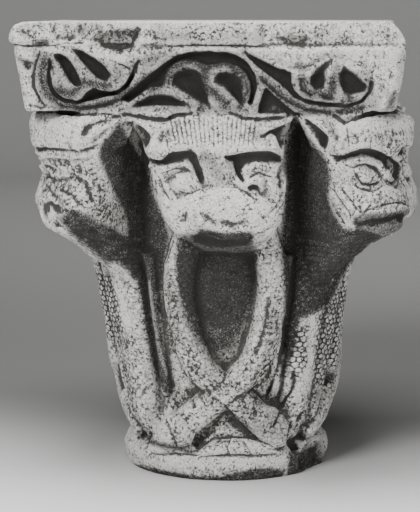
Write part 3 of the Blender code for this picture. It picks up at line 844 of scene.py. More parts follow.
# The ragged gap between the vine and the front's heads
UNDER_VINE = strokes(5.0, Edge.ROUND,
    ((58, 112, 1.4), (80, 114, 1.8), (104, 114.5, 2), (120, 117, 1.8)),
    ((122, 114, 1.6), (134, 116, 2), (150, 118.5, 2.6), (166, 120, 2.6), (174, 116, 2), (192, 113.5, 1.4)),
    ((230, 113, 1.4), (243, 118, 2), (257, 119.5, 2.4), (282, 117.5, 2.4), (298, 114, 1.6)),
    ((330, 114.5, 1.4), (337, 116, 2), (343.5, 121, 3), (349, 118.5, 2.4), (370, 114, 2), (394, 111, 1.6)))
FRONT_HEAD = [
    *hollows(6.0, Edge.FLAT, 3.4,
        ((146, 157), (153, 160), (160, 160), (167, 154), (174, 151.5), (184, 150.5), (192, 150.5),
         (196, 154), (199, 163), (203, 174), (204.5, 184), (201, 184), (196, 175), (191, 164.5),
         (186, 161.5), (176, 163), (166, 166), (156, 167), (150, 164)),
        ((287, 162), (282, 155.5), (272, 152), (256, 151), (240, 153), (229, 156), (222, 156), (226, 160),
         (233, 163), (234, 170), (238, 179), (243, 184), (245, 179), (241, 172), (246, 165.5),
         (256, 162.5), (268, 163.5), (280, 163.5))),
    *hollows(6.5, Edge.FLAT, 3.4,
        ((129, 121), (138, 125), (145, 130), (151, 136), (149, 143), (144, 152), (139, 147), (134, 136)),
        ((260, 137), (268, 130), (280, 126), (295, 120), (292, 132), (288, 142), (281, 150), (279, 143),
         (276, 137), (270, 134), (265, 138))),
    *strokes(-2.0, Edge.SOFT,
        ((122, 122, 2), (130, 132, 2.4), (137, 143, 2.4), (143, 153, 2.4), (147, 162, 2))),
    *strokes(1.8, Edge.SHARP,
        ((166, 172, 1.2), (175, 168.5, 1.8), (185, 168.5, 1.8), (192, 172, 1.3)),
        ((192.5, 177, 1.2), (195, 184, 2.2), (197, 188, 1.4)),
        ((178, 191, 1.4), (184, 193.5, 2.2), (192, 193, 2.2), (200, 189, 1.4)),
        ((231, 182, 1.2), (238, 188, 2), (246, 192, 2), (256, 199.5, 1.2)),
        ((243, 184, 1.2), (249, 177, 1.6), (259, 172.5, 1.6), (271, 177, 1.2)),
        ((283, 192, 1.2), (277, 206, 1.8), (266, 217, 1.2)),
        ((287, 190, 1.2), (285, 202, 1.6), (276, 214, 1)),
        ((160, 178, 1.2), (163, 190, 1.8), (169, 199, 1.2)),
        ((250, 238, 1.5), (262, 233, 2.2), (273, 227, 1.4)),
        ((167, 140, 1.6), (168.5, 153, 2))),
    *strokes(2.8, Edge.ROUND,
        ((186, 212, 1.4), (184.5, 221, 2)),
        ((260, 213, 1.2), (264, 219, 1.6))),
    *strokes(2.8, Edge.SOFT,
        ((184, 182, 4), (189, 185, 6), (192, 188, 4)),
        ((206, 216, 5), (214, 223, 5)),
        ((222, 222, 4), (232, 225, 5), (244, 222, 4))),
    *strokes(6.5, Edge.ROUND,
        ((250, 188.5, 2.8), (254, 187.5, 4.2), (259, 189.5, 2.4))),
    *strokes(-1.8, Edge.SOFT,
        ((167, 153, 1.5), (172, 148.5, 2.2), (182, 146.5, 2.4), (191, 147, 2.4), (201, 151, 1.5)),
        ((158, 131, 4), (155, 141, 5), (150, 152, 3.5)),
        ((271, 143, 4), (275, 148, 5)),
        ((162, 176, 3), (167, 188, 4), (175, 198, 3)),
        ((178, 176, 4), (188, 174.5, 4)),
        ((252, 182, 4), (262, 181, 5)),
        ((200, 221, 6),),
        ((254, 221, 7),)),
    *hollows(5.0, Edge.SOFT, 5.0,
        ((190, 236), (202, 232), (214, 233), (226, 238), (240, 238), (252, 236), (258, 241), (248, 247),
         (226, 250), (204, 248), (192, 243)))]
HAIR = [stroke for stroke in strokes(
    1.5, Edge.SHARP,
    *(((top, 117 + 2 * (i % 3), 0.9), (0.5 * (top + foot), 132, 1.5), (foot, 144 + 3 * (i % 2), 0.9))
      for i, (top, foot) in enumerate(zip(np.linspace(170, 256, 19), np.linspace(176, 252, 19)))))]
RIGHT_HEAD = [
    *hollows(6.5, Edge.FLAT, 3.4,
        ((328, 153), (336, 156), (344, 155.5), (352, 152), (360, 149.5), (370, 149), (380, 151),
         (388, 155), (396, 160), (402, 166), (405, 173), (403.5, 181), (398, 182), (392, 177), (387, 170),
         (382, 163), (374, 159), (364, 157.5), (354, 159.5), (344, 162), (335, 163))),
    *hollows(6.0, Edge.FLAT, 3.6,
        ((301, 118), (308, 120), (316, 126), (323, 131), (328.5, 138), (327.5, 146), (325, 152),
         (320, 147), (314, 137), (307, 128))),
    *strokes(2.2, Edge.SHARP,
        ((345, 165, 1.2), (353, 168.5, 1.8), (359, 166, 2), (366, 164.6, 2), (374, 168, 2.2),
         (380, 175, 2.8), (386, 182, 1.4)),
        ((355, 185, 1.2), (361, 188.5, 1.8), (369, 190.5, 2.4), (376, 189.5, 2), (382, 186, 1.2)),
        ((354, 171, 1), (357, 178, 1.6), (362, 183.5, 1.7), (370, 185, 1.7), (378, 182.5, 1.2)),
        ((344, 121, 1.6), (347, 131, 2), (348.5, 143, 1.2)),
        ((333, 190, 1), (341, 203, 2), (351, 216, 1)),
        ((340, 187, 1), (349, 199, 2.4), (358, 211, 1)),
        ((330, 200, 1), (336, 213, 1.6), (344, 224, 1)),
        ((359, 206, 1.5), (360, 213, 3), (372, 208.5, 2), (388, 204, 1.8), (409, 200, 1.4))),
    *strokes(-1.8, Edge.SOFT,
        ((345, 163, 2), (353, 161.5, 3), (364, 160.5, 3), (376, 164, 3), (384, 172, 3), (390, 181, 2.4)),
        ((335, 124, 5), (342, 136, 6), (338, 150, 4)),
        ((350, 219, 4), (362, 216, 4))),
    *hollows(-3.0, Edge.SOFT, 5.0,
        ((355, 170), (360, 168), (367, 167), (374, 169), (378, 173), (380, 178), (378, 182), (374, 184),
         (368, 184), (362, 182), (358, 178))),
    *hollows(3.5, Edge.SOFT, 6.0,
        ((352, 222), (366, 216), (384, 214), (404, 210), (409, 215), (392, 226), (368, 231), (354, 230)))]
LEFT_HEAD = [
    *hollows(3.6, Edge.FLAT, 2.2,
        ((34, 151), (42, 147), (54, 148), (66, 150), (78, 150.5), (90, 147.5), (100, 143), (98, 148),
         (88, 152), (76, 154), (62, 153), (48, 151.5), (38, 153))),
    *hollows(4.5, Edge.SOFT, 4.0,
        ((82, 125), (94, 119.5), (106, 118), (118, 116), (110, 122), (98, 127), (92, 131), (86, 138),
         (79, 136))),
    *strokes(-1.6, Edge.SOFT,
        ((70, 122, 3), (84, 118, 3), (100, 116, 2.4), (114, 116, 1.5)),
        ((88, 138, 5), (100, 131, 4), (110, 124, 2.5)),
        ((34, 158, 2), (50, 156, 2.6), (68, 157.5, 2.6), (86, 156.5, 2)),
        ((88, 178, 6), (96, 192, 6))),
    *strokes(1.6, Edge.SOFT,
        ((46, 176, 3), (56, 180, 4), (70, 178, 3)),
        ((62, 190, 3), (74, 196, 4), (82, 206, 3)),
        ((48, 187, 3), (54, 196, 4), (64, 202, 3))),
    *strokes(2.4, Edge.SOFT,
        ((46, 166, 3), (54, 171, 5)),
        ((72, 176, 5), (86, 184, 5), (92, 200, 4)),
        ((50, 204, 4), (60, 210, 6), (78, 214, 5)),
        ((60, 226, 4), (80, 238, 6))),
    *hollows(2.5, Edge.SOFT, 6.0,
        ((58, 222), (72, 212), (86, 218), (100, 228), (110, 244), (100, 256), (88, 246), (72, 234)))]
GROOVES_BELOW = [
    *strokes(5.0, Edge.ROUND,
        ((285, 318, 1.6), (284, 345, 2), (279, 364, 2), (271, 384, 1.8), (266, 398, 1.2)),
        ((293, 373, 2), (294, 381, 3.4), (292, 390, 2.4), (285, 399, 1.8), (277, 412, 1.8),
         (271, 425, 1.2)),
        ((303, 413, 1.4), (299, 419, 2.4)),
        ((286, 427, 2), (287, 438, 4), (294, 446, 5), (306, 445, 4), (316, 436, 2)),
        ((151, 430, 1.4), (152, 438, 2.6), (149, 446, 2.4), (143, 449, 1.4))),
    *strokes(2.2, Edge.SHARP,
        ((200, 457, 1), (228, 455.5, 1.8), (258, 456, 1.8), (277, 454, 1)),
        ((240, 437, 1), (246, 445, 1.6), (252, 455, 1)),
        ((231, 438, 1), (227, 447, 1.4), (229, 455, 1.2)),
        ((262, 445, 1), (268, 449, 1.4), (278, 450, 1)),
        ((130, 450, 1), (150, 455.5, 1.8), (175, 454, 1.8), (200, 455, 1.4)),
        ((212, 398, 1.2), (224, 405, 1.8), (234, 416, 1.2)),
        ((262, 372, 1), (256, 384, 1.6), (249, 392, 1))),
    *strokes(2.2, Edge.SOFT,
        ((186, 390, 3), (191, 399, 4), (194, 407, 3)),
        ((160, 408, 3), (168, 428, 4), (176, 446, 3)),
        ((268, 300, 5), (264, 330, 5), (256, 352, 4)))]

# Forms at the front's foot that stand proud: flat leaves over the astragal, and merging tails
FOOT_FORMS = [
    *hollows(-8.5, Edge.SOFT, 8.0,
        ((192, 460), (199, 449), (208, 443), (222, 438), (234, 434), (244, 437), (252, 441), (266, 444),
         (278, 448), (282, 456))),
    *hollows(-6.0, Edge.SOFT, 9.0,
        ((198, 446), (208, 430), (222, 414), (238, 424), (258, 438), (266, 448), (232, 452)),
        ((140, 452), (148, 424), (158, 408), (172, 404), (186, 416), (196, 432), (198, 452), (180, 458)),
        ((262, 402), (282, 404), (292, 420), (290, 446), (276, 450), (258, 440), (246, 424)))]

# Painted shade on every face: the voids between the heads, which lie in deep shadow, and the panel between
# the bodies, shaded under the chin and dark with patina as well
VOID_SHADE = [
    *hollows(0.9, Edge.SOFT, 5.5,
        ((119, 116), (134, 141), (142, 154), (148, 164), (152, 180), (160, 202), (167, 218), (172, 236),
         (168, 254), (164, 290), (164, 320), (168, 350), (178, 385), (172, 402), (160, 392), (150, 366),
         (144, 336), (138, 300), (132, 272), (126, 256), (126, 240), (124, 221), (119, 206), (110, 191),
         (103, 174), (96, 159), (98, 144), (110, 130))),
    *hollows(0.9, Edge.SOFT, 7.5,
        ((298, 112), (312, 135), (323, 150), (332, 160), (334, 176), (332, 195), (338, 212), (346, 224),
         (372, 230), (384, 236), (364, 256), (352, 268), (344, 282), (339, 295), (332, 307), (318, 316),
         (304, 322), (298, 352), (286, 380), (276, 386), (280, 350), (281, 318), (280, 290), (278, 262),
         (277, 240), (279, 220), (282, 197), (283, 184), (281, 165), (282, 147), (286, 135))),
    *hollows(0.8, Edge.SOFT, 10.0,
        ((172, 232), (200, 226), (226, 230), (256, 230), (262, 250), (260, 280), (254, 304), (240, 322),
         (222, 330), (204, 324), (186, 312), (176, 292), (171, 262)))]

# Where the front is painted darker: stains and patina, darker broken places, and painted shade in the vine,
# under the muzzles and the chin, and on the astragal's underside
STAINS_AND_SHADE = [
    # Painted shade over the whole vine scroll
    *hollows(0.4, Edge.SOFT, 6.0,
        ((30, 46), (120, 60), (160, 50), (250, 48), (300, 74), (374, 66), (384, 112), (300, 120),
         (200, 114), (60, 116), (34, 108))),
    # Painted shade on the lower sides of the vine's stems and in the hollows of its leaves
    *strokes(0.5, Edge.SOFT,
        ((44, 58, 6), (41, 74, 8), (46, 92, 8), (62, 106, 8), (86, 108, 8), (112, 102, 8), (134, 88, 7),
         (152, 74, 6)),
        ((262, 78, 7), (284, 98, 8), (306, 110, 8), (335, 114, 8), (362, 108, 7)),
        ((220, 56, 5), (244, 64, 6), (256, 84, 6)),
        ((150, 90, 7), (164, 84, 7), (172, 68, 7), (188, 61, 6), (204, 66, 9), (206, 90, 9), (200, 110, 8)),
        ((206, 66, 8), (226, 64, 6), (242, 72, 7), (248, 92, 6), (240, 108, 6)),
        ((214, 92, 9), (226, 104, 9)),
        ((56, 90, 8), (72, 94, 9), (84, 82, 7), (108, 86, 8)),
        ((302, 78, 8), (306, 92, 8), (330, 96, 8), (336, 66, 6), (350, 100, 7))),
    *hollows(0.85, Edge.SOFT, 7.0,
        ((52, 217), (71, 206), (88, 210), (100, 218), (118, 226), (134, 238), (142, 262), (136, 292),
         (127, 276), (116, 266), (104, 266), (90, 254), (76, 242), (62, 229))),
    # Painted shade on the astragal's underside, and under the right body where it meets the broken astragal
    *hollows(0.85, Edge.SOFT, 3.0,
        ((289, 447), (300, 450), (312, 444), (330, 430), (340, 440), (330, 462), (310, 474), (292, 484),
         (285, 476)),
        ((122, 456), (133, 462), (147, 466), (168, 469.5), (192, 474), (216, 475.5), (229, 474),
         (250, 467.5), (269, 466), (286, 470), (280, 492), (237, 494), (205, 494), (169, 490), (148, 486),
         (132, 476))),
    *hollows(0.5, Edge.SOFT, 5.0,
        *UPPER_CHIPS,
        LOWER_CHIP),
    *hollows(0.28, Edge.SOFT, 7.0,
        ((268, 36), (290, 31), (309, 33), (314, 39), (304, 52), (282, 47)),
        ((150, 30), (260, 30), (262, 46), (150, 46))),
    # The panel under the chin: painted shade cast by the chin, and patina
    *hollows(0.42, Edge.SOFT, 12.0,
        ((172, 250), (262, 250), (256, 318), (246, 346), (232, 370), (219, 384), (206, 370), (190, 350),
         (178, 330), (172, 300)),
        ((172, 250), (262, 250), (258, 300), (250, 330), (238, 352), (216, 362), (198, 348), (182, 330),
         (174, 300))),
    # Painted shade under the right head's muzzle
    *hollows(0.7, Edge.SOFT, 4.0,
        ((350, 216), (362, 211), (384, 211), (414, 206), (414, 218), (402, 232), (376, 244), (356, 240))),
    *hollows(0.3, Edge.SOFT, 7.0,
        ((236, 402), (254, 392), (278, 384), (292, 404), (292, 440), (270, 444), (240, 430)),
        ((268, 290), (276, 290), (284, 330), (268, 370), (246, 400), (240, 392), (262, 350)),
        ((160, 268), (172, 262), (178, 290), (180, 320), (190, 344), (180, 350), (168, 330), (162, 300))),
    # Painted shade in creases: over the astragal at the left, in the right head's ear and under the front
    # muzzle
    *strokes(0.8, Edge.SOFT,
        ((150, 442, 6), (192, 452, 5)),
        ((324, 136, 7), (322, 144, 5)),
        ((200, 231, 5), (224, 236, 6), (250, 234, 5))),
    # Patina on the bridge of the nose
    *strokes(0.42, Edge.SOFT,
        ((206, 158, 14), (216, 168, 17), (220, 178, 14)),
        ((232, 160, 10), (238, 172, 9)))]

# Painted light: stalks inside the voids and the rim of the front's left ear, where they catch the light,
# are lifted out of the painted shade
PAINTED_LIGHT = strokes(0.35, Edge.SOFT,
    ((149, 282, 3), (151, 300, 4.6), (154, 322, 4.6), (158, 345, 4.6), (163, 362, 4.4), (167, 376, 4)),
    ((328, 290, 5), (333, 279, 4)),
    ((122, 122, 2), (130, 132, 2.6), (137, 143, 2.6), (143, 153, 2.6), (147, 162, 2)))

# Where the tool has left the stone drilled all over
DRILLED = hollows(1.0, Edge.SOFT, 6.0,
    ((346, 130), (372, 124), (404, 128), (412, 160), (406, 178), (396, 158), (370, 146), (350, 150),
     (342, 140)),
    ((40, 158), (70, 156), (98, 162), (112, 196), (118, 226), (80, 216), (58, 218), (42, 196)),
    ((350, 194), (380, 190), (410, 188), (416, 212), (390, 220), (354, 214)),
    ((108, 336), (134, 334), (148, 380), (156, 430), (138, 444), (120, 400)),
    ((160, 392), (214, 376), (236, 392), (254, 420), (240, 442), (200, 456), (170, 448)),
    ((160, 284), (174, 274), (186, 330), (208, 374), (190, 388), (170, 350), (160, 320)),
    ((222, 396), (258, 340), (272, 286), (288, 300), (276, 366), (262, 404), (290, 420), (262, 440),
     (240, 414)),
    ((296, 392), (320, 388), (318, 420), (304, 442), (290, 424)),
    ((76, 36), (96, 28), (146, 24), (142, 42), (121, 58), (90, 46)),
    ((124, 458), (180, 470), (286, 470), (286, 490), (180, 490), (126, 476)))
# Paler places: worn proud parts, and painted highlights where the light falls on the muzzle, forehead,
# stalks and astragal
WORN_AND_HIGHLIT = [
    *strokes(0.8, Edge.SOFT,
        ((196, 412, 22), (190, 428, 20), (150, 400, 14), (168, 462, 10), (250, 461, 8))),
    *strokes(1.0, Edge.SOFT,
        ((176, 202, 14), (205, 206, 18), (235, 208, 18), (262, 210, 14)),
        ((165, 186, 9), (268, 184, 12)),
        ((355, 60, 40), (385, 60, 30)),
        ((370, 132, 20), (394, 134, 16)),
        ((182, 406, 16), (206, 418, 18), (196, 430, 16)),
        ((152, 462, 7), (190, 464, 8), (230, 464, 9), (280, 461, 8)),
        ((200, 130, 24), (235, 130, 24)),
        ((50, 128, 20), (62, 132, 18)),
        ((112, 60, 10), (125, 62, 8)),
        ((60, 24, 10), (220, 24, 9), (400, 26, 12)),
        ((112, 268, 5), (120, 292, 5), (128, 330, 4)),
        ((148, 276, 3), (150, 302, 3), (155, 340, 3), (162, 370, 3)),
        ((136, 370, 12), (144, 410, 12)),
        ((312, 318, 5), (311, 350, 5), (306, 378, 5)),
        ((296, 358, 8), (300, 400, 12)),
        ((263, 350, 8), (246, 378, 8), (226, 400, 8)),
        ((58, 168, 18), (80, 186, 16)))]

# Where the photograph shows the scales cut deep, and where none are left
DEEP_SCALES = hollows(1.0, Edge.SOFT, 4.0,
    ((92, 268), (112, 274), (120, 304), (126, 332), (110, 342), (102, 338), (92, 288)),
    ((317, 316), (330, 300), (346, 274), (350, 300), (346, 340), (336, 392), (314, 386), (313, 352)),
    ((292, 326), (308, 326), (309, 361), (302, 384), (288, 380), (289, 352)),
    ((256, 384), (262, 366), (276, 340), (288, 330), (282, 360), (268, 386)))
BARE = strokes(1.0, Edge.SOFT,
    ((112, 268, 6), (120, 292, 6), (129, 332, 5)),
    ((313, 312, 5), (311, 350, 5), (306, 380, 5)),
    ((190, 410, 18), (212, 424, 16)))


@dataclass(frozen=True)
class Zone:
    """A stretch of the stone on one face, in degrees and heights, and the strokes that belong to it."""

    strokes: list
    azimuth: tuple
    up: tuple
    least_radius: float
    mirrored: bool = False
    lean: bool = False
    cheek: float = -9.0


@dataclass(frozen=True)
class Gouge:
    """A piece broken out of the stone: an ellipsoid that stands across, out and up from the axis."""

    angle: float
    middle: tuple
    radii: tuple


@dataclass
class Stone:
    """The block itself: its masses fused, carved, broken, worn and thinned out, in one closed skin."""

    bell: Bell
    impost: Impost
    bodies: Bodies
    heads: list
    sight: Sight
    seed: int = 7
    under_face: float = 0.024
    margin: float = 0.002
    proudest_mm: float = 5.0
    deepest_mm: float = 11.0
    corner_fade: tuple = (-0.001, 0.006)
    front_weight: float = 0.35
    front_limit: float = -0.03
    fine_depth_mm: float = 2.6
    plain_scales: float = 0.42
    # The depth of carving that the finish paints darkest, as shade
    darkest_mm: float = 7.5
    right_swell: float = 0.0055
    right_rounding: tuple = (0.019, 0.028)
    left_rounding: tuple = (0.016, 0.014)
    lumps: tuple = ((0.42, 0.015, 1), (0.16, 0.006, 2))
    pit_depth_mm: float = 0.9
    pit_size: float = 0.0036
    pit_limits: tuple = (1.2, 2.0)
    # How often to average, the lift that counts as a full hollow, and its share
    hollow_reads: tuple = ((6, 0.0005, 0.5), (40, 0.0025, 0.5))
    # The painted shade spread round the carving: its share, its gain and how often it is averaged
    halo_share: float = 0.4
    halo_gain: float = 1.7
    halo_times: int = 14
    gouge_roughness: float = 0.09
    gouge_lump: float = 0.005
    thing: bpy.types.Object = field(default=None, init=False)

    def fuse(self, shells: list, voxel: float) -> None:
        """Join shells and fuse them into one skin.

        Args:
            shells: Their meshes.
            voxel: The size of the skin's faces.
        """
        shape = bmesh.new()
        for mesh in shells:
            shape.from_mesh(mesh)
            bpy.data.meshes.remove(mesh)
        mesh = bpy.data.meshes.new("stone")
        shape.to_mesh(mesh)
        shape.free()
        self.thing = bpy.data.objects.new("carved_stone", mesh)
        bpy.context.scene.collection.objects.link(self.thing)
        self.remesh(voxel)

    def settle(self) -> None:
        """Replace the mesh by what its modifiers make of it."""
        evaluated = self.thing.evaluated_get(bpy.context.evaluated_depsgraph_get())
        mesh = bpy.data.meshes.new_from_object(evaluated)
        self.thing.modifiers.clear()
        self.thing.data = mesh

    def remesh(self, voxel: float) -> None:
        """Give the skin even faces of a size.

        Args:
            voxel: The size.
        """
        modifier = self.thing.modifiers.new("skin", "REMESH")
        modifier.mode = "VOXEL"
        modifier.voxel_size = voxel
        self.settle()
        LOG.info("skin of %d faces", len(self.thing.data.polygons))

    def drop_inner_skins(self) -> None:
        """Delete every skin but the largest."""
        edges = self.edges()
        label = np.arange(len(self.thing.data.vertices))
        while True:
            lower = np.minimum(label[edges[:, 0]], label[edges[:, 1]])
            fresh = label.copy()
            np.minimum.at(fresh, edges[:, 0], lower)
            np.minimum.at(fresh, edges[:, 1], lower)
            fresh = fresh[fresh]
            if (fresh == label).all():
                break
            label = fresh
        names, counts = np.unique(label, return_counts=True)
        if len(names) == 1:
            return
        keep = names[counts.argmax()]
        shape = bmesh.new()
        shape.from_mesh(self.thing.data)
        inner = [vertex for vertex in shape.verts if label[vertex.index] != keep]
        bmesh.ops.delete(shape, geom=inner, context="VERTS")
        shape.to_mesh(self.thing.data)
        shape.free()

    def points(self) -> np.ndarray:
        """Read the skin's points.

        Returns:
            The points, one a row.
        """
        found = np.empty(len(self.thing.data.vertices) * 3, np.float32)
        self.thing.data.vertices.foreach_get("co", found)
        return found.reshape(-1, 3).astype(float)

    def move_to(self, points: np.ndarray) -> None:
        """Put the skin's points in new places."""
        self.thing.data.vertices.foreach_set("co", points.astype(np.float32).ravel())
        self.thing.data.update()

    def normals(self, times: int) -> np.ndarray:
        """Read the skin's normals at its points.

        Args:
            times: How often to average them with their neighbours.

        Returns:
            The normals, one a row.
        """
        found = np.empty(len(self.thing.data.vertices) * 3, np.float32)
        self.thing.data.vertices.foreach_get("normal", found)
        found = self.softened(found.reshape(-1, 3).astype(float), times)
        return found / np.linalg.norm(found, axis=1)[:, None]

    def edges(self) -> np.ndarray:
        """Read the skin's edges.

        Returns:
            The numbers of the two points that each joins.
        """
        found = np.empty(len(self.thing.data.edges) * 2, np.int32)
        self.thing.data.edges.foreach_get("vertices", found)
        return found.reshape(-1, 2)

    def softened(self, values: np.ndarray, times: int) -> np.ndarray:
        """Average values over neighbouring points.

        Args:
            values: One row for each point.
            times: How often to average.

        Returns:
            The averages.
        """
        edges = self.edges()
        count = len(values)
        links = np.bincount(edges.ravel(), minlength=count)[:, None]
        for _ in range(times):
            total = np.stack([np.bincount(edges[:, 0], values[edges[:, 1], column], count)
                              + np.bincount(edges[:, 1], values[edges[:, 0], column], count)
                              for column in range(values.shape[1])], axis=1)
            values = 0.5 * values + 0.5 * total / np.maximum(links, 1)
        return values

    def turned(self, points: np.ndarray, angle: float, mirrored: bool = False) -> np.ndarray:
        """See points as if another face were the front one.

        Args:
            points: Points or directions, one a row.
            angle: The face's angle.
            mirrored: Whether to swap left and right as well.

        Returns:
            The turned rows.
        """
        turn = -math.radians(angle)
        c, s = math.cos(turn), math.sin(turn)
        seen = np.stack([points[:, 0] * c - points[:, 1] * s, points[:, 0] * s + points[:, 1] * c,
                         points[:, 2]], axis=1)
        if mirrored:
            seen[:, 0] *= -1
        return seen

    def noise(self, points: np.ndarray, size: float, seed: int) -> np.ndarray:
        """Read a smooth random field.

        Args:
            points: Where to read it.
            size: The size of its lumps.
            seed: Which field it is.

        Returns:
            Numbers around 0, mostly within 1.
        """
        cells = 24
        grid = np.random.default_rng(self.seed + seed).standard_normal((cells, cells, cells))
        above_zero = 500
        spots = points / size + above_zero
        base = np.floor(spots).astype(int)
        part = spots - base
        part = part * part * (3 - 2 * part)
        total = np.zeros(len(points))
        for corner in range(8):
            step = np.array([corner & 1, corner >> 1 & 1, corner >> 2 & 1])
            weight = np.prod(np.where(step, part, 1 - part), axis=1)
            cell = (base + step) % cells
            total += weight * grid[cell[:, 0], cell[:, 1], cell[:, 2]]
        return total

    def read_strokes(self, drawn: list, points: np.ndarray,
                     fine: bool | None = None) -> np.ndarray:
        """Add up how deep strokes cut.

        Args:
            drawn: The strokes.
            points: Points of the stone, turned so that the front is what is drawn on.
            fine: Whether to read the fine strokes or the deep ones; all of them if not said.

        Returns:
            Depth at each point.
        """
        pixels = self.sight.project(points)
        depth = np.zeros(len(points))
        for stroke in drawn:
            if fine is None or fine == (abs(stroke.depth_mm) < self.fine_depth_mm):
                low, high = stroke.bounds()
                near = np.flatnonzero(((pixels > low) & (pixels < high)).all(axis=1))
                if len(near):
                    depth[near] += stroke.depth_mm * stroke.read(pixels[near])
        return depth

    def read_vine(self, points: np.ndarray, angle: float, fine: bool | None = None,
                  worn: bool = True) -> tuple:
        """Read how deep the vine scroll is cut on one face of the impost.

        Args:
            points: The skin's points.
            angle: The face's angle.
            fine: Whether to read the fine strokes or the deep ones; all of them if not said.
            worn: Whether to read the wear of the front as well.

        Returns:
            The numbers of the face's points, and the depth at each in mm.
        """
        impost = self.impost
        seen = self.turned(points - (impost.shift, 0, 0), angle)
        share = (seen[:, 2] - impost.soffit) / (impost.top - impost.soffit)
        low, high = impost.plane(impost.soffit), impost.plane(impost.top)
        outer = np.minimum(low + (high - low) * share, impost.width / 2)
        chosen = np.flatnonzero((outer + seen[:, 1] < self.under_face)
                                & (seen[:, 2] > impost.soffit - self.margin)
                                & (seen[:, 2] < impost.top + self.margin)
                                & (np.abs(seen[:, 0]) < impost.width / 2 + self.margin))
        flat = seen[chosen].copy()
        flat[:, 1] = -outer[chosen]
        if angle == 0:
            flat[:, 0] += impost.shift
            left, right = [self.read_strokes(drawn, flat, fine) for drawn in (VINE_LEFT, VINE_RIGHT)]
            cut = np.where(np.abs(left) > np.abs(right), left, right)
            if worn:
                cut += self.read_strokes(IMPOST_WEAR, flat, fine)
        else:
            cut = np.full(len(chosen), -9.0)
            for way in (-1, 1):
                side = flat * (way, 1, 1) + (impost.shift, 0, 0)
                cut = np.maximum(cut, self.read_strokes(VINE_LEFT, side, fine))
        fade = smooth_step(impost.width / 2 - np.abs(seen[chosen, 0]), *self.corner_fade)
        return chosen, np.clip(cut, -self.proudest_mm, self.deepest_mm) * fade

    def carve_impost(self, fine: bool) -> None:
        """Cut the vine scroll into each face of the impost.

        Args:
            fine: Whether to cut the fine strokes or the deep ones.
        """
        points = self.points()
        for angle in FACE_ANGLES:
            chosen, depth = self.read_vine(points, angle, fine)
            points[chosen] += depth[:, None] * MM * np.array(place(angle, 0, -1, 0))
        self.move_to(points)

    def zones(self, angle: float) -> list:
        """List the zones of one face below the impost.

        Args:
            angle: The face's angle.

        Returns:
            The zones.
        """
        below = GROOVES_BELOW + (FOOT_FORMS if angle == 0 else [])
        width = 50 if angle == 0 else 26
        found = [Zone(UNDER_VINE if angle == 0 else [], (-60, 60), (0.325, 0.362), 0.12),
                 Zone(FRONT_HEAD + HAIR, (-27, 27), (0.222, 0.3455), 0.135, lean=True),
                 Zone(below, (-width, width), (0.02, 0.235), 0.07)]
        for side in (-1, 1):
            broken = (angle + 45 * side) % 360 in BROKEN_CORNERS
            meets_front = (angle + 45 * side) % 360 in (45, 315)
            cheek = 0.0 if not meets_front else -0.6 if angle == 0 else 0.2
            found.append(Zone(LEFT_HEAD if broken else RIGHT_HEAD, (-72, -14) if broken else (14, 72),
                              (0.2, 0.349), 0.12, (side == 1) == broken, cheek=cheek))
        return found

    def read_figures(self, points: np.ndarray, normals: np.ndarray,
                     fine: bool | None = None) -> np.ndarray:
        """Read how deep the beasts' features and the grooves between their bodies are cut.

        Args:
            points: The skin's points.
            normals: Its normals.
            fine: Whether to read the fine strokes or the deep ones; all of them if not said.

        Returns:
            The depth at each point in mm.
        """
        lean_low, lean_high = self.heads[0].lean_low, self.heads[0].lean_high
        depth = np.zeros(len(points))
        for angle in FACE_ANGLES:
            for zone in self.zones(angle):
                seen = self.turned(points, angle, zone.mirrored)
                facing = self.turned(normals, angle, zone.mirrored)
                if zone.lean and angle:
                    height = (seen[:, 2] - self.heads[0].chin) / self.heads[0].height
                    seen[:, 0] += lean_low + (lean_high - lean_low) * height
                azimuth = np.degrees(np.arctan2(seen[:, 0], -seen[:, 1]))
                weight = smooth_step(-facing[:, 1], 0.05, 0.35)
                way = 1 if zone.azimuth[0] > 0 else -1
                own = -facing[:, 1] - way * facing[:, 0]
                weight *= smooth_step(own, zone.cheek - 0.12, zone.cheek + 0.12)
                chosen = np.flatnonzero((azimuth > zone.azimuth[0]) & (azimuth < zone.azimuth[1])
                                        & (seen[:, 2] > zone.up[0]) & (seen[:, 2] < zone.up[1])
                                        & (np.hypot(seen[:, 0], seen[:, 1]) > zone.least_radius)
                                        & (weight > 0))
                depth[chosen] += self.read_strokes(zone.strokes, seen[chosen], fine) * weight[chosen]
        return depth

    def carve_figures(self, fine: bool) -> None:
        """Cut the beasts' features and the grooves between their bodies, on every face.

        Args:
            fine: Whether to cut the fine strokes or the deep ones.
        """
        points = self.points()
        normals = self.normals(2 if fine else 4)
        depth = self.read_figures(points, normals, fine)
        self.move_to(points - normals * depth[:, None] * MM)

    def gouges(self) -> list:
        """List what is broken out of the stone.

        Returns:
            The gouges.
        """
        half, height = self.impost.width / 2, self.impost.height
        found = []
        # Out of the front of the impost, as shares of its half width and its height
        for middle, radii in (((-0.61, 1.04, 0.87), (0.20, 0.07, 0.21)),
                              ((1.02, 1.04, 1.16), (0.13, 0.11, 0.39)),
                              ((1.03, 1.02, 0.08), (0.09, 0.11, 0.16)),
                              ((-1.02, 1.03, 1.10), (0.07, 0.07, 0.20)),
                              ((-0.99, 1.02, 0.60), (0.08, 0.06, 0.13))):
            found.append(Gouge(0, (self.impost.shift + middle[0] * half, middle[1] * half,
                                   self.impost.soffit + middle[2] * height),
                               (radii[0] * half, radii[1] * half, radii[2] * height)))
        thick = self.bell.astragal_height
        found.append(Gouge(64, (0, self.bell.astragal_diameter * 0.53, thick * 0.4),
                           (thick * 1.9, thick * 0.5, thick * 0.9)))
        for head in self.heads:
            if head.broken:
                found.append(Gouge(head.angle, (0, head.reach * 1.07, head.chin + head.height * 0.16),
                                   (head.width * 0.54, head.width * 0.29, head.height * 0.26)))
        return found

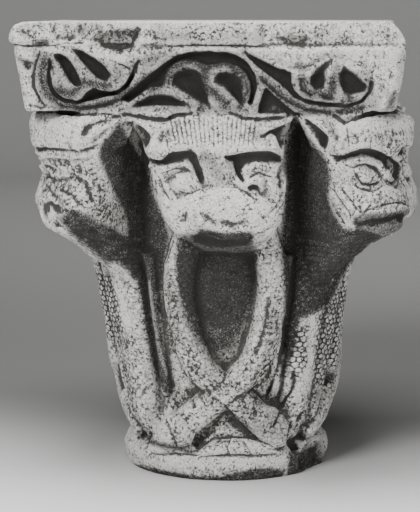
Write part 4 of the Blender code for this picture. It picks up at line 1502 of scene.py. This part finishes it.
    def swell(self) -> None:
        """Bring the impost's right side out below the band, where the photograph shows no step."""
        points = self.points()
        impost = self.impost
        share = smooth_step(points[:, 2], impost.soffit - 3 * MM, impost.soffit + 3 * MM)
        share *= smooth_step(impost.band_foot + impost.line - points[:, 2], 0, 2 * MM)
        share *= smooth_step(points[:, 0], 0.125, 0.150) * smooth_step(-points[:, 1], -0.16, -0.10)
        points[:, 0] += self.right_swell * share
        self.move_to(points)

    def ease(self, times: int) -> None:
        """Round off edges by averaging points with their neighbours."""
        self.move_to(self.softened(self.points(), times))

    def batter(self) -> None:
        """Break out what is missing, by pushing the skin back onto each gouge."""
        points = self.points()
        for gouge in self.gouges():
            seen = self.turned(points, gouge.angle)
            middle = np.array(gouge.middle) * (1, -1, 1)
            radii = np.array(gouge.radii)
            reach = np.linalg.norm((seen - middle) / radii, axis=1)
            farthest = 1.2
            inside = np.flatnonzero(reach < farthest)
            rough = 1 + self.gouge_roughness * self.noise(seen[inside], self.gouge_lump, 9)
            push = np.maximum(rough / reach[inside], 1)
            moved = middle + (seen[inside] - middle) * push[:, None]
            points[inside] = self.turned(moved, -gouge.angle)
        fade = smooth_step(-points[:, 1], -0.15, 0.02)
        for side, (wide, deep) in ((1, self.right_rounding), (-1, self.left_rounding)):
            edge = self.impost.width / 2 + side * self.impost.shift
            reach_x = np.maximum(wide * fade, 1e-6)
            reach_z = np.maximum(deep * fade, 1e-6)
            across = (side * points[:, 0] - edge + reach_x) / reach_x
            up = (points[:, 2] - self.impost.top + reach_z) / reach_z
            over = np.hypot(across, up)
            worn = (across > 0) & (up > 0) & (over > 1) & (fade > 0)
            shrink = np.where(worn, 1 / np.maximum(over, 1), 1)
            points[:, 0] += side * reach_x * across * (shrink - 1) * worn
            points[:, 2] += reach_z * up * (shrink - 1) * worn
        self.move_to(points)

    def scales(self, points: np.ndarray, normals: np.ndarray) -> tuple:
        """Lay the rows of scales along the beasts' bodies.

        Args:
            points: Points of the skin.
            normals: Its normals.

        Returns:
            Distances along and across the body in mm, and how deep the scales are cut, from 0 to 1.
        """
        azimuth = np.degrees(np.arctan2(points[:, 0], -points[:, 1]))
        radius = np.hypot(points[:, 0], points[:, 1])
        steps = np.linspace(0, self.bell.soffit, 60)
        ground = np.interp(points[:, 2], steps, [self.bell.radius(up) for up in steps])
        bodies = self.bodies
        lines = []
        for angle in FACE_ANGLES:
            shift = bodies.front_shift if angle == 0 else 0.0
            for side in (-1, 1):
                path = [(angle + side * row[0] + shift, row[1] * bodies.chin) for row in BODY_PATH]
                lines.append((path, bodies.band_width * 0.5))
        for angle in CORNER_ANGLES:
            path = [(angle + row[0], row[1] * bodies.chin) for row in CORNER_BODY_PATH]
            lines.append((path, bodies.corner_width * 0.5))
        for side in (-1, 1):
            path = [(side * row[0], row[1] * bodies.chin) for row in FLANK_PATH]
            lines.append((path, bodies.flank_width * 0.62))
        along, across, strength = np.zeros((3, len(points)))
        for path, half in lines:
            rows = smooth_rows(path, 40)
            middle = (rows[:, 0].min() + rows[:, 0].max()) / 2
            turn = (azimuth - middle + 180) % 360 - 180 + middle
            spill = 16
            near = np.flatnonzero((turn > rows[:, 0].min() - spill) & (turn < rows[:, 0].max() + spill)
                                  & (points[:, 2] < bodies.chin * 1.04) & (points[:, 2] > 0.03)
                                  & (radius > ground + bodies.relief * 0.3))
            scale = np.radians(1) * ground[near]
            best = np.full(len(near), 9.0)
            length_mm, side_mm = np.zeros((2, len(near)))
            so_far = 0.0
            for (a0, z0), (a1, z1) in zip(rows, rows[1:]):
                run = np.array(((a1 - a0) * np.radians(1) * self.bell.radius((z0 + z1) / 2), z1 - z0))
                length = np.hypot(*run)
                gap = np.stack([(turn[near] - a0) * scale, points[near, 2] - z0], axis=1)
                share = np.clip((gap @ run) / length ** 2, 0, 1)
                gap -= share[:, None] * run
                distance = np.hypot(gap[:, 0], gap[:, 1])
                closer = distance < best
                best[closer] = distance[closer]
                length_mm[closer] = (so_far + share[closer] * length) / MM
                sign = np.sign(run[0] * gap[:, 1] - run[1] * gap[:, 0])
                side_mm[closer] = (distance * sign)[closer] / MM
                so_far += length
            here = smooth_step(half - best, 0, 2 * MM)
            better = here > strength[near]
            chosen = near[better]
            along[chosen], across[chosen] = length_mm[better], side_mm[better]
            strength[chosen] = here[better]
        drawn = smooth_step(-normals[:, 1], -0.1, 0.2) * (points[:, 1] < -0.02)
        deep = np.clip(self.read_strokes(DEEP_SCALES, points), 0, 1) * drawn
        bare = np.clip(self.read_strokes(BARE, points), 0, 1) * drawn
        strength *= (self.plain_scales + (1 - self.plain_scales) * deep) * (1 - bare)
        return along, across, strength

    def wear(self) -> None:
        """Give the skin its pits and weathered unevenness."""
        points = self.points()
        height = sum(rise * self.noise(points, size, seed) for rise, size, seed in self.lumps)
        height -= self.pit_depth_mm * smooth_step(self.noise(points, self.pit_size, 4), *self.pit_limits)
        self.move_to(points + self.normals(2) * height[:, None] * MM)

    def thin_out(self) -> None:
        """Bring the skin down to its number of triangles, with most of them in front."""
        group = self.thing.vertex_groups.new(name="plainer sides")
        points = self.points()
        for low, high, weight in ((-1.0, self.front_limit, self.front_weight),
                                  (self.front_limit, 1.0, 1.0)):
            chosen = np.flatnonzero((points[:, 1] >= low) & (points[:, 1] < high))
            group.add([int(i) for i in chosen], weight, "REPLACE")
        count = 2 * len(self.thing.data.polygons)
        modifier = self.thing.modifiers.new("thin out", "DECIMATE")
        modifier.vertex_group = group.name
        modifier.ratio = min(1.0, TRIANGLES / count)
        self.settle()
        LOG.info("thinned out to %d triangles", len(self.thing.data.polygons))

    def flatten_beds(self) -> None:
        """Level the underside and the bed on top."""
        shape = bmesh.new()
        shape.from_mesh(self.thing.data)
        for up, out in ((0.0, -1), (self.impost.top, 1)):
            cut = bmesh.ops.bisect_plane(shape, geom=shape.verts[:] + shape.edges[:] + shape.faces[:],
                                         dist=1e-6, plane_co=(0, 0, up), plane_no=(0, 0, out),
                                         clear_outer=True)
            rim = [edge for edge in cut["geom_cut"] if isinstance(edge, bmesh.types.BMEdge)]
            bmesh.ops.holes_fill(shape, edges=rim, sides=0)
        shape.to_mesh(self.thing.data)
        shape.free()

    def keep_inside(self, low: Vector, high: Vector) -> None:
        """Keep the skin inside the solid's box."""
        self.move_to(np.clip(self.points(), low, high))

    def paint(self) -> None:
        """Store what the finish reads: hollows, carving, stains with painted shade, worn places with
        painted highlights, and scales.
        """
        points = self.points()
        normals = self.normals(1)
        # How hollow each point lies, which the finish darkens as grime and painted shade
        hollow = np.zeros(len(points))
        for times, scale, share in self.hollow_reads:
            lift = ((self.softened(points, times) - points) * normals).sum(axis=1)
            hollow += share * np.clip(lift / scale, -1, 1)
        carved = self.read_figures(points, normals)
        # Painted shade in the voids and under the heads, together with real stains and patina on the front
        stain_and_shade = np.zeros(len(points))
        front = np.abs(np.degrees(np.arctan2(points[:, 0], -points[:, 1])))
        for angle in FACE_ANGLES:
            chosen, depth = self.read_vine(points, angle, worn=False)
            carved[chosen] = np.maximum(carved[chosen], depth)
            seen = self.turned(points, angle)
            azimuth = np.abs(np.degrees(np.arctan2(seen[:, 0], -seen[:, 1])))
            near = np.flatnonzero(azimuth < 75 if angle == 0 else (azimuth < 46) & (front > 68))
            dark = self.read_strokes(VOID_SHADE + (STAINS_AND_SHADE if angle == 0 else []), seen[near])
            stain_and_shade[near] = np.maximum(stain_and_shade[near], dark)
        seen = smooth_step(-normals[:, 1], 0.0, 0.3) * (points[:, 1] < -0.04)
        # Lift the painted shade off where the painted light falls on the stalks and the ear's rim
        stain_and_shade *= 1 - np.clip(self.read_strokes(PAINTED_LIGHT, points), 0, 1) * seen
        # The carving's depth, spread into a halo round each cut, which the finish darkens as painted shade
        carved = np.clip(carved / self.darkest_mm, 0, 1)
        halo = self.softened(carved[:, None], self.halo_times)[:, 0]
        halo = np.clip(self.halo_gain * halo, 0, 1)
        carved = (1 - self.halo_share) * carved + self.halo_share * halo
        along, across, strength = self.scales(points, normals)
        drilled, worn_and_highlit = [np.clip(self.read_strokes(drawn, points), 0, 1) * seen
                           for drawn in (DRILLED, WORN_AND_HIGHLIT)]
        for name, values in zip(LAYERS, (hollow, carved, np.clip(stain_and_shade, 0, 1), drilled, worn_and_highlit,
                                         along, across, strength)):
            layer = self.thing.data.attributes.new(name, "FLOAT", "POINT")
            layer.data.foreach_set("value", values.astype(np.float32))

    def build(self, low: Vector, high: Vector) -> bpy.types.Object:
        """Make the stone.

        Args:
            low: Lowest corner of the solid that it stands for.
            high: Highest corner.

        Returns:
            The stone's object.
        """
        shells = self.bell.shells() + self.impost.shells() + self.bodies.flank_shells()
        for head in self.heads:
            shells += head.shells()
        for angle in FACE_ANGLES:
            shells += self.bodies.face_shells(angle, self.bodies.front_shift if angle == 0 else 0.0)
        for angle in CORNER_ANGLES:
            shells += self.bodies.corner_shells(angle)
        self.fuse(shells, COARSE_VOXEL)
        self.drop_inner_skins()
        self.carve_impost(False)
        self.carve_figures(False)
        self.swell()
        self.batter()
        self.remesh(FINE_VOXEL)
        self.drop_inner_skins()
        self.ease(2)
        self.carve_impost(True)
        self.carve_figures(True)
        self.wear()
        self.flatten_beds()
        self.thin_out()
        self.keep_inside(low, high)
        self.paint()
        self.thing.data.shade_smooth()
        return self.thing


def linear(code: str) -> tuple:
    """Turn an sRGB hex colour into the linear colour that a shader takes.

    Args:
        code: Six hex digits.

    Returns:
        Red, green, blue and an alpha of 1.
    """
    channels = [int(code[i:i + 2], 16) / 255 for i in (0, 2, 4)]
    return (*[c / 12.92 if c <= 0.04045 else ((c + 0.055) / 1.055) ** 2.4 for c in channels], 1.0)


def add_node(tree: bpy.types.NodeTree, kind: str, settings: dict,
             **links: bpy.types.NodeSocket) -> bpy.types.Node:
    """Add a node with its settings and links.

    Args:
        tree: The material's node tree.
        kind: The node's type.
        settings: Properties by name, or socket values by name or number.
        links: Sockets that feed its inputs, by the input's name with _ for a space, or i and a number.

    Returns:
        The node.
    """
    node = tree.nodes.new(kind)
    for name, value in settings.items():
        if isinstance(name, int) or name in node.inputs:
            node.inputs[name].default_value = value
        else:
            setattr(node, name, value)
    for name, source in links.items():
        socket = node.inputs[int(name[1:])] if name[1:].isdigit() else node.inputs[name.replace("_", " ")]
        tree.links.new(source, socket)
    return node


@dataclass(frozen=True)
class Limestone:
    """Limestone, hand-dressed and weathered: pale matt grains, dark pits, grime and painted shade in the
    hollows, paler worn places with painted highlights.
    """

    pale: str = "EEEDE9"
    body: str = "C6C4BF"
    # The colour of grime with painted shade, and that of the deepest painted shade with stains
    dark: str = "4E4C49"
    deep_shade_and_stain_colour: str = "2B2A28"
    roughness: float = 0.88
    index: float = 1.5
    specular: float = 0.25
    # Real grains are under half as large, and are drawn coarser so that they show
    grain_mm: float = 1.3
    pit_mm: float = 2.4
    drill_mm: float = 3.6
    mottle_mm: float = 9.0
    cloud_mm: float = 28.0
    wander_mm: float = 9.0
    scale_pitch_mm: float = 5.6
    scale_length: float = 0.87
    bump_mm: float = 1.0

    def patterns(self) -> dict:
        """List the noise patterns.

        Returns:
            The size of each one's lumps in mm, its detail and its roughness, by its name.
        """
        return {"grain": (self.grain_mm, 3, 0.65), "pit noise": (self.pit_mm, 2, 0.6),
                "speck noise": (self.grain_mm * 1.5, 1, 0.5), "drill noise": (self.drill_mm, 1, 0.6),
                "cloud noise": (self.cloud_mm, 4, 0.6), "mottle noise": (self.mottle_mm, 3, 0.65),
                "patch noise": (self.cloud_mm * 0.35, 3, 0.65), "wander": (self.wander_mm, 1, 0.5)}

    def recipe(self) -> list:
        """List the steps from noise and the piece's attributes to the layers of the finish.

        Returns:
            Rows of a result's name, an operation and what it reads: earlier results by their names,
            or numbers. RANGE stretches a value between two limits, and the rest is arithmetic.
        """
        return [
            ("pits", "RANGE", "pit noise", 0.51, 0.63),
            ("specks", "RANGE", "speck noise", 0.54, 0.68),
            ("holes", "RANGE", "drill noise", 0.50, 0.60),
            ("holes", "MULTIPLY", "holes", "drilled"),
            ("clouds", "RANGE", "cloud noise", 0.35, 0.7),
            ("mottle", "RANGE", "mottle noise", 0.44, 0.68),
            ("patches", "RANGE", "patch noise", 0.46, 0.62),
            # Hollows darkened as grime and painted shade, and proud ridges made paler
            ("cavity", "RANGE", "hollow", 0.0, 0.7),
            ("ridge", "RANGE", "hollow", 0.0, -0.6),
            # Rows of scales: every second row is shifted by half a scale
            ("row", "MULTIPLY", "scale along", 1 / (self.scale_length * self.scale_pitch_mm)),
            ("row", "MULTIPLY_ADD", "wander", 0.8, "row"),
            ("shift", "FLOOR", "row"),
            ("shift", "MODULO", "shift", 2.0),
            ("shift", "MULTIPLY", "shift", 0.5),
            ("aside", "MULTIPLY_ADD", "scale across", 1 / self.scale_pitch_mm, "shift"),
            *[(name, *step) for name, source, stretch in (("up", "row", 1.5), ("aside", "aside", 1.8))
              for step in (("FRACT", source), ("SUBTRACT", name, 0.5), ("MULTIPLY", name, stretch),
                           ("MULTIPLY", name, name))],
            ("bowl", "ADD", "aside", "up"),
            ("dome", "RANGE", "bowl", 1.0, 0.1),
            ("dome", "MULTIPLY", "dome", "scale depth"),
            # Painted shade in the gaps between the scales, which only the finish cuts
            ("gaps", "RANGE", "bowl", 0.3, 0.85),
            ("cut", "RANGE", "scale depth", 0.25, 0.95),
            ("gaps", "MULTIPLY", "gaps", "cut"),
            ("grains", "RANGE", "grain", 0.35, 0.60),
            # Grime, pits and random tone, darkened further by painted shade in hollows, carving and the
            # gaps between scales, and made paler by wear and painted highlights
            ("dirt_and_shade", "ADD", "patches", 0.25),
            ("dirt_and_shade", "MULTIPLY", "dirt_and_shade", "pits"),
            *[("dirt_and_shade", "MULTIPLY_ADD", layer, share, "dirt_and_shade") for layer, share in (
                ("clouds", 0.32), ("mottle", 0.36), ("holes", 0.75), ("specks", 0.6), ("cavity", 0.7),
                ("carved", 0.55), ("worn_and_highlit", -0.34), ("ridge", -0.4), ("gaps", 1.0))],
            # The deepest painted shade, in the voids, under the heads, in deep carving and between the
            # scales, with real stains
            ("deep_shade_and_stains", "RANGE", "grain", 0.45, 0.7, 1.22, 0.72),
            ("deep_shade_and_stains", "MULTIPLY", "deep_shade_and_stains", "stain_and_shade"),
            # Deep carving painted darkest, as shade
            ("deep", "RANGE", "carved", 0.3, 1.0),
            ("deep_shade_and_stains", "MULTIPLY_ADD", "deep", 0.8, "deep_shade_and_stains"),
            ("deep_shade_and_stains", "MULTIPLY_ADD", "gaps", 0.75, "deep_shade_and_stains"),
            ("deep_shade_and_stains", "MINIMUM", "deep_shade_and_stains", 0.97),
            ("relief", "MULTIPLY", "grain", 0.4),
            *[("relief", "MULTIPLY_ADD", layer, share, "relief") for layer, share in (
                ("pits", -0.55), ("holes", -0.8), ("dome", 1.8))]]

    def build(self) -> bpy.types.Material:
        """Make the material.

        Returns:
            The material, named for the stone.
        """
        material = bpy.data.materials.new("limestone, hand-dressed and weathered")
        material.use_nodes = True
        tree = material.node_tree
        where = add_node(tree, "ShaderNodeTexCoord", {}).outputs["Object"]
        found = {name: add_node(tree, "ShaderNodeAttribute", {"attribute_name": name}).outputs["Fac"]
                 for name in LAYERS}
        for name, (size_mm, detail, rough) in self.patterns().items():
            found[name] = add_node(tree, "ShaderNodeTexNoise", {
                "Scale": 1 / (size_mm * MM), "Detail": detail, "Roughness": rough},
                Vector=where).outputs["Fac"]
        for name, operation, *terms in self.recipe():
            if operation == "RANGE":
                limits = dict(zip(("From Min", "From Max", "To Min", "To Max"), terms[1:]))
                node = add_node(tree, "ShaderNodeMapRange", limits, Value=found[terms[0]])
            else:
                numbers = {i: term for i, term in enumerate(terms) if not isinstance(term, str)}
                feeds = {f"i{i}": found[term] for i, term in enumerate(terms) if isinstance(term, str)}
                node = add_node(tree, "ShaderNodeMath", {"operation": operation, **numbers}, **feeds)
            found[name] = node.outputs[0]
        base = add_node(tree, "ShaderNodeMix", {"data_type": "RGBA", 6: linear(self.body),
                                                7: linear(self.pale)}, i0=found["grains"]).outputs[2]
        for colour, share in ((self.dark, "dirt_and_shade"), (self.deep_shade_and_stain_colour, "deep_shade_and_stains")):
            base = add_node(tree, "ShaderNodeMix", {"data_type": "RGBA", 7: linear(colour)},
                            i0=found[share], i6=base).outputs[2]
        bump = add_node(tree, "ShaderNodeBump", {"Strength": 0.9, "Distance": self.bump_mm * MM},
                        Height=found["relief"])
        shader = tree.nodes["Principled BSDF"]
        shader.inputs["Roughness"].default_value = self.roughness
        shader.inputs["IOR"].default_value = self.index
        shader.inputs["Specular IOR Level"].default_value = self.specular
        tree.links.new(base, shader.inputs["Base Color"])
        tree.links.new(bump.outputs["Normal"], shader.inputs["Normal"])
        return material


@dataclass(frozen=True)
class Paper:
    """A sweep of matt paper with its light painted in: white under the stone, painted shade behind it that
    comes nearer on the right, and painted light making it paler again far back.
    """

    under: str = "FFFFFF"
    behind: str = "7A7A78"
    far: str = "F0F0EE"
    roughness: float = 0.9
    # The way the painted shade falls off, tilted so that it comes nearer on the right, where the stone's
    # shadow falls
    direction: tuple = (0.22, 1, 0)
    first_fade: tuple = (-0.26, 0.24)
    second_fade: tuple = (0.3, 2.6)

    def build(self) -> bpy.types.Material:
        """Make the material.

        Returns:
            The material, named for the paper.
        """
        material = bpy.data.materials.new("paper sweep")
        material.use_nodes = True
        tree = material.node_tree
        where = add_node(tree, "ShaderNodeTexCoord", {}).outputs["Object"]
        away = add_node(tree, "ShaderNodeVectorMath", {"operation": "DOT_PRODUCT", 1: self.direction},
                        i0=where).outputs["Value"]
        behind, far = [
            add_node(tree, "ShaderNodeMapRange", {"From Min": low, "From Max": high,
                                                  "interpolation_type": "SMOOTHSTEP"},
                     Value=away).outputs["Result"] for low, high in (self.first_fade, self.second_fade)]
        paper = add_node(tree, "ShaderNodeMix", {"data_type": "RGBA", 6: linear(self.under),
                                                 7: linear(self.behind)}, i0=behind).outputs[2]
        paper = add_node(tree, "ShaderNodeMix", {"data_type": "RGBA", 7: linear(self.far)},
                         i0=far, i6=paper).outputs[2]
        shader = tree.nodes["Principled BSDF"]
        shader.inputs["Roughness"].default_value = self.roughness
        tree.links.new(paper, shader.inputs["Base Color"])
        return material


@dataclass(frozen=True)
class Lamp:
    """A soft square light: its side, its watts, where it hangs and what it points at."""

    name: str
    size: float
    power: float
    spot: tuple
    aim: tuple

    def hang(self) -> None:
        """Add the light to the scene."""
        lamp = bpy.data.lights.new(self.name, "AREA")
        lamp.size = self.size
        lamp.energy = self.power
        thing = bpy.data.objects.new(self.name, lamp)
        thing.location = self.spot
        aim = Vector(self.aim) - Vector(self.spot)
        thing.rotation_euler = aim.to_track_quat("-Z", "Y").to_euler()
        bpy.context.scene.collection.objects.link(thing)


@dataclass
class Studio:
    """The pale sweep under and behind the stone, the lights and the camera at the photograph's angle."""

    sight: Sight
    paper: Paper
    foot: float = 2.9
    bend: float = 1.0
    half_width: float = 5.0
    near: float = -4.0
    top: float = 4.0
    room: str = "BBBBBB"
    room_strength: float = 0.04
    lamps: tuple = (Lamp("key", 0.8, 53, (-0.9, -1.9, 1.7), (0, 0, 0.22)),
                    Lamp("fill", 1.2, 12, (1.6, -1.5, 0.8), (0, 0, 0.22)),
                    Lamp("top", 1.0, 34, (0.0, -0.3, 1.9), (0, -0.4, 0)))

    def sweep(self) -> None:
        """Lay the floor that bends up into the backdrop."""
        rows = [(self.near, 0.0)]
        for turn in np.linspace(0, math.pi / 2, 24):
            rows.append((self.foot + self.bend * math.sin(turn), self.bend * (1 - math.cos(turn))))
        rows.append((self.foot + self.bend, self.top))
        shape = bmesh.new()
        spots = [shape.verts.new((-self.half_width, y, z)) for y, z in rows]
        edges = [shape.edges.new(pair) for pair in zip(spots, spots[1:])]
        bmesh.ops.extrude_edge_only(shape, edges=edges)
        for vertex in shape.verts[len(rows):]:
            vertex.co.x = self.half_width
        mesh = closed(shape)
        mesh.shade_smooth()
        mesh.materials.append(self.paper.build())
        thing = bpy.data.objects.new("sweep", mesh)
        bpy.context.scene.collection.objects.link(thing)

    def camera(self) -> None:
        """Stand the camera where the photograph was taken from."""
        data = bpy.data.cameras.new("camera")
        data.lens = self.sight.lens_mm
        data.sensor_width = self.sight.sensor_mm
        camera = bpy.data.objects.new("camera", data)
        camera.location = self.sight.eye
        aim = Vector(self.sight.target) - self.sight.eye
        camera.rotation_euler = aim.to_track_quat("-Z", "Y").to_euler()
        bpy.context.scene.collection.objects.link(camera)
        bpy.context.scene.camera = camera

    def build(self) -> None:
        """Set up the studio."""
        self.sweep()
        for lamp in self.lamps:
            lamp.hang()
        world = bpy.data.worlds.new("soft room")
        world.use_nodes = True
        background = world.node_tree.nodes["Background"]
        background.inputs["Color"].default_value = linear(self.room)
        background.inputs["Strength"].default_value = self.room_strength
        bpy.context.scene.world = world
        self.camera()


def main() -> None:
    """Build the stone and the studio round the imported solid."""
    logging.basicConfig(level=logging.INFO, format="%(asctime)s %(name)s: %(message)s")
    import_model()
    low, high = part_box("capital_with_impost")
    sight = Sight()
    bell = Bell()
    heads = [BeastHead(0, FACE_WIDTH, FACE_REACH, FACE_PROFILE, lean_low=0.0085, lean_high=-0.0070)]
    heads += [BeastHead(angle, FACE_WIDTH, FACE_REACH, FACE_PROFILE) for angle in FACE_ANGLES[1:]]
    for angle in CORNER_ANGLES:
        broken = angle in BROKEN_CORNERS
        heads.append(BeastHead(angle, CORNER_WIDTH, BROKEN_REACH if broken else CORNER_REACH,
                               CORNER_PROFILE, broken=broken))
    stone = Stone(bell, Impost(), Bodies(bell), heads, sight)
    piece = stone.build(low, high)
    piece.data.materials.clear()
    piece.data.materials.append(Limestone().build())
    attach(piece, "root")
    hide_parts("capital_with_impost")
    LOG.info("%s: %d faces", piece.name, len(piece.data.polygons))
    Studio(sight, Paper()).build()


if __name__ == "__main__":
    main()
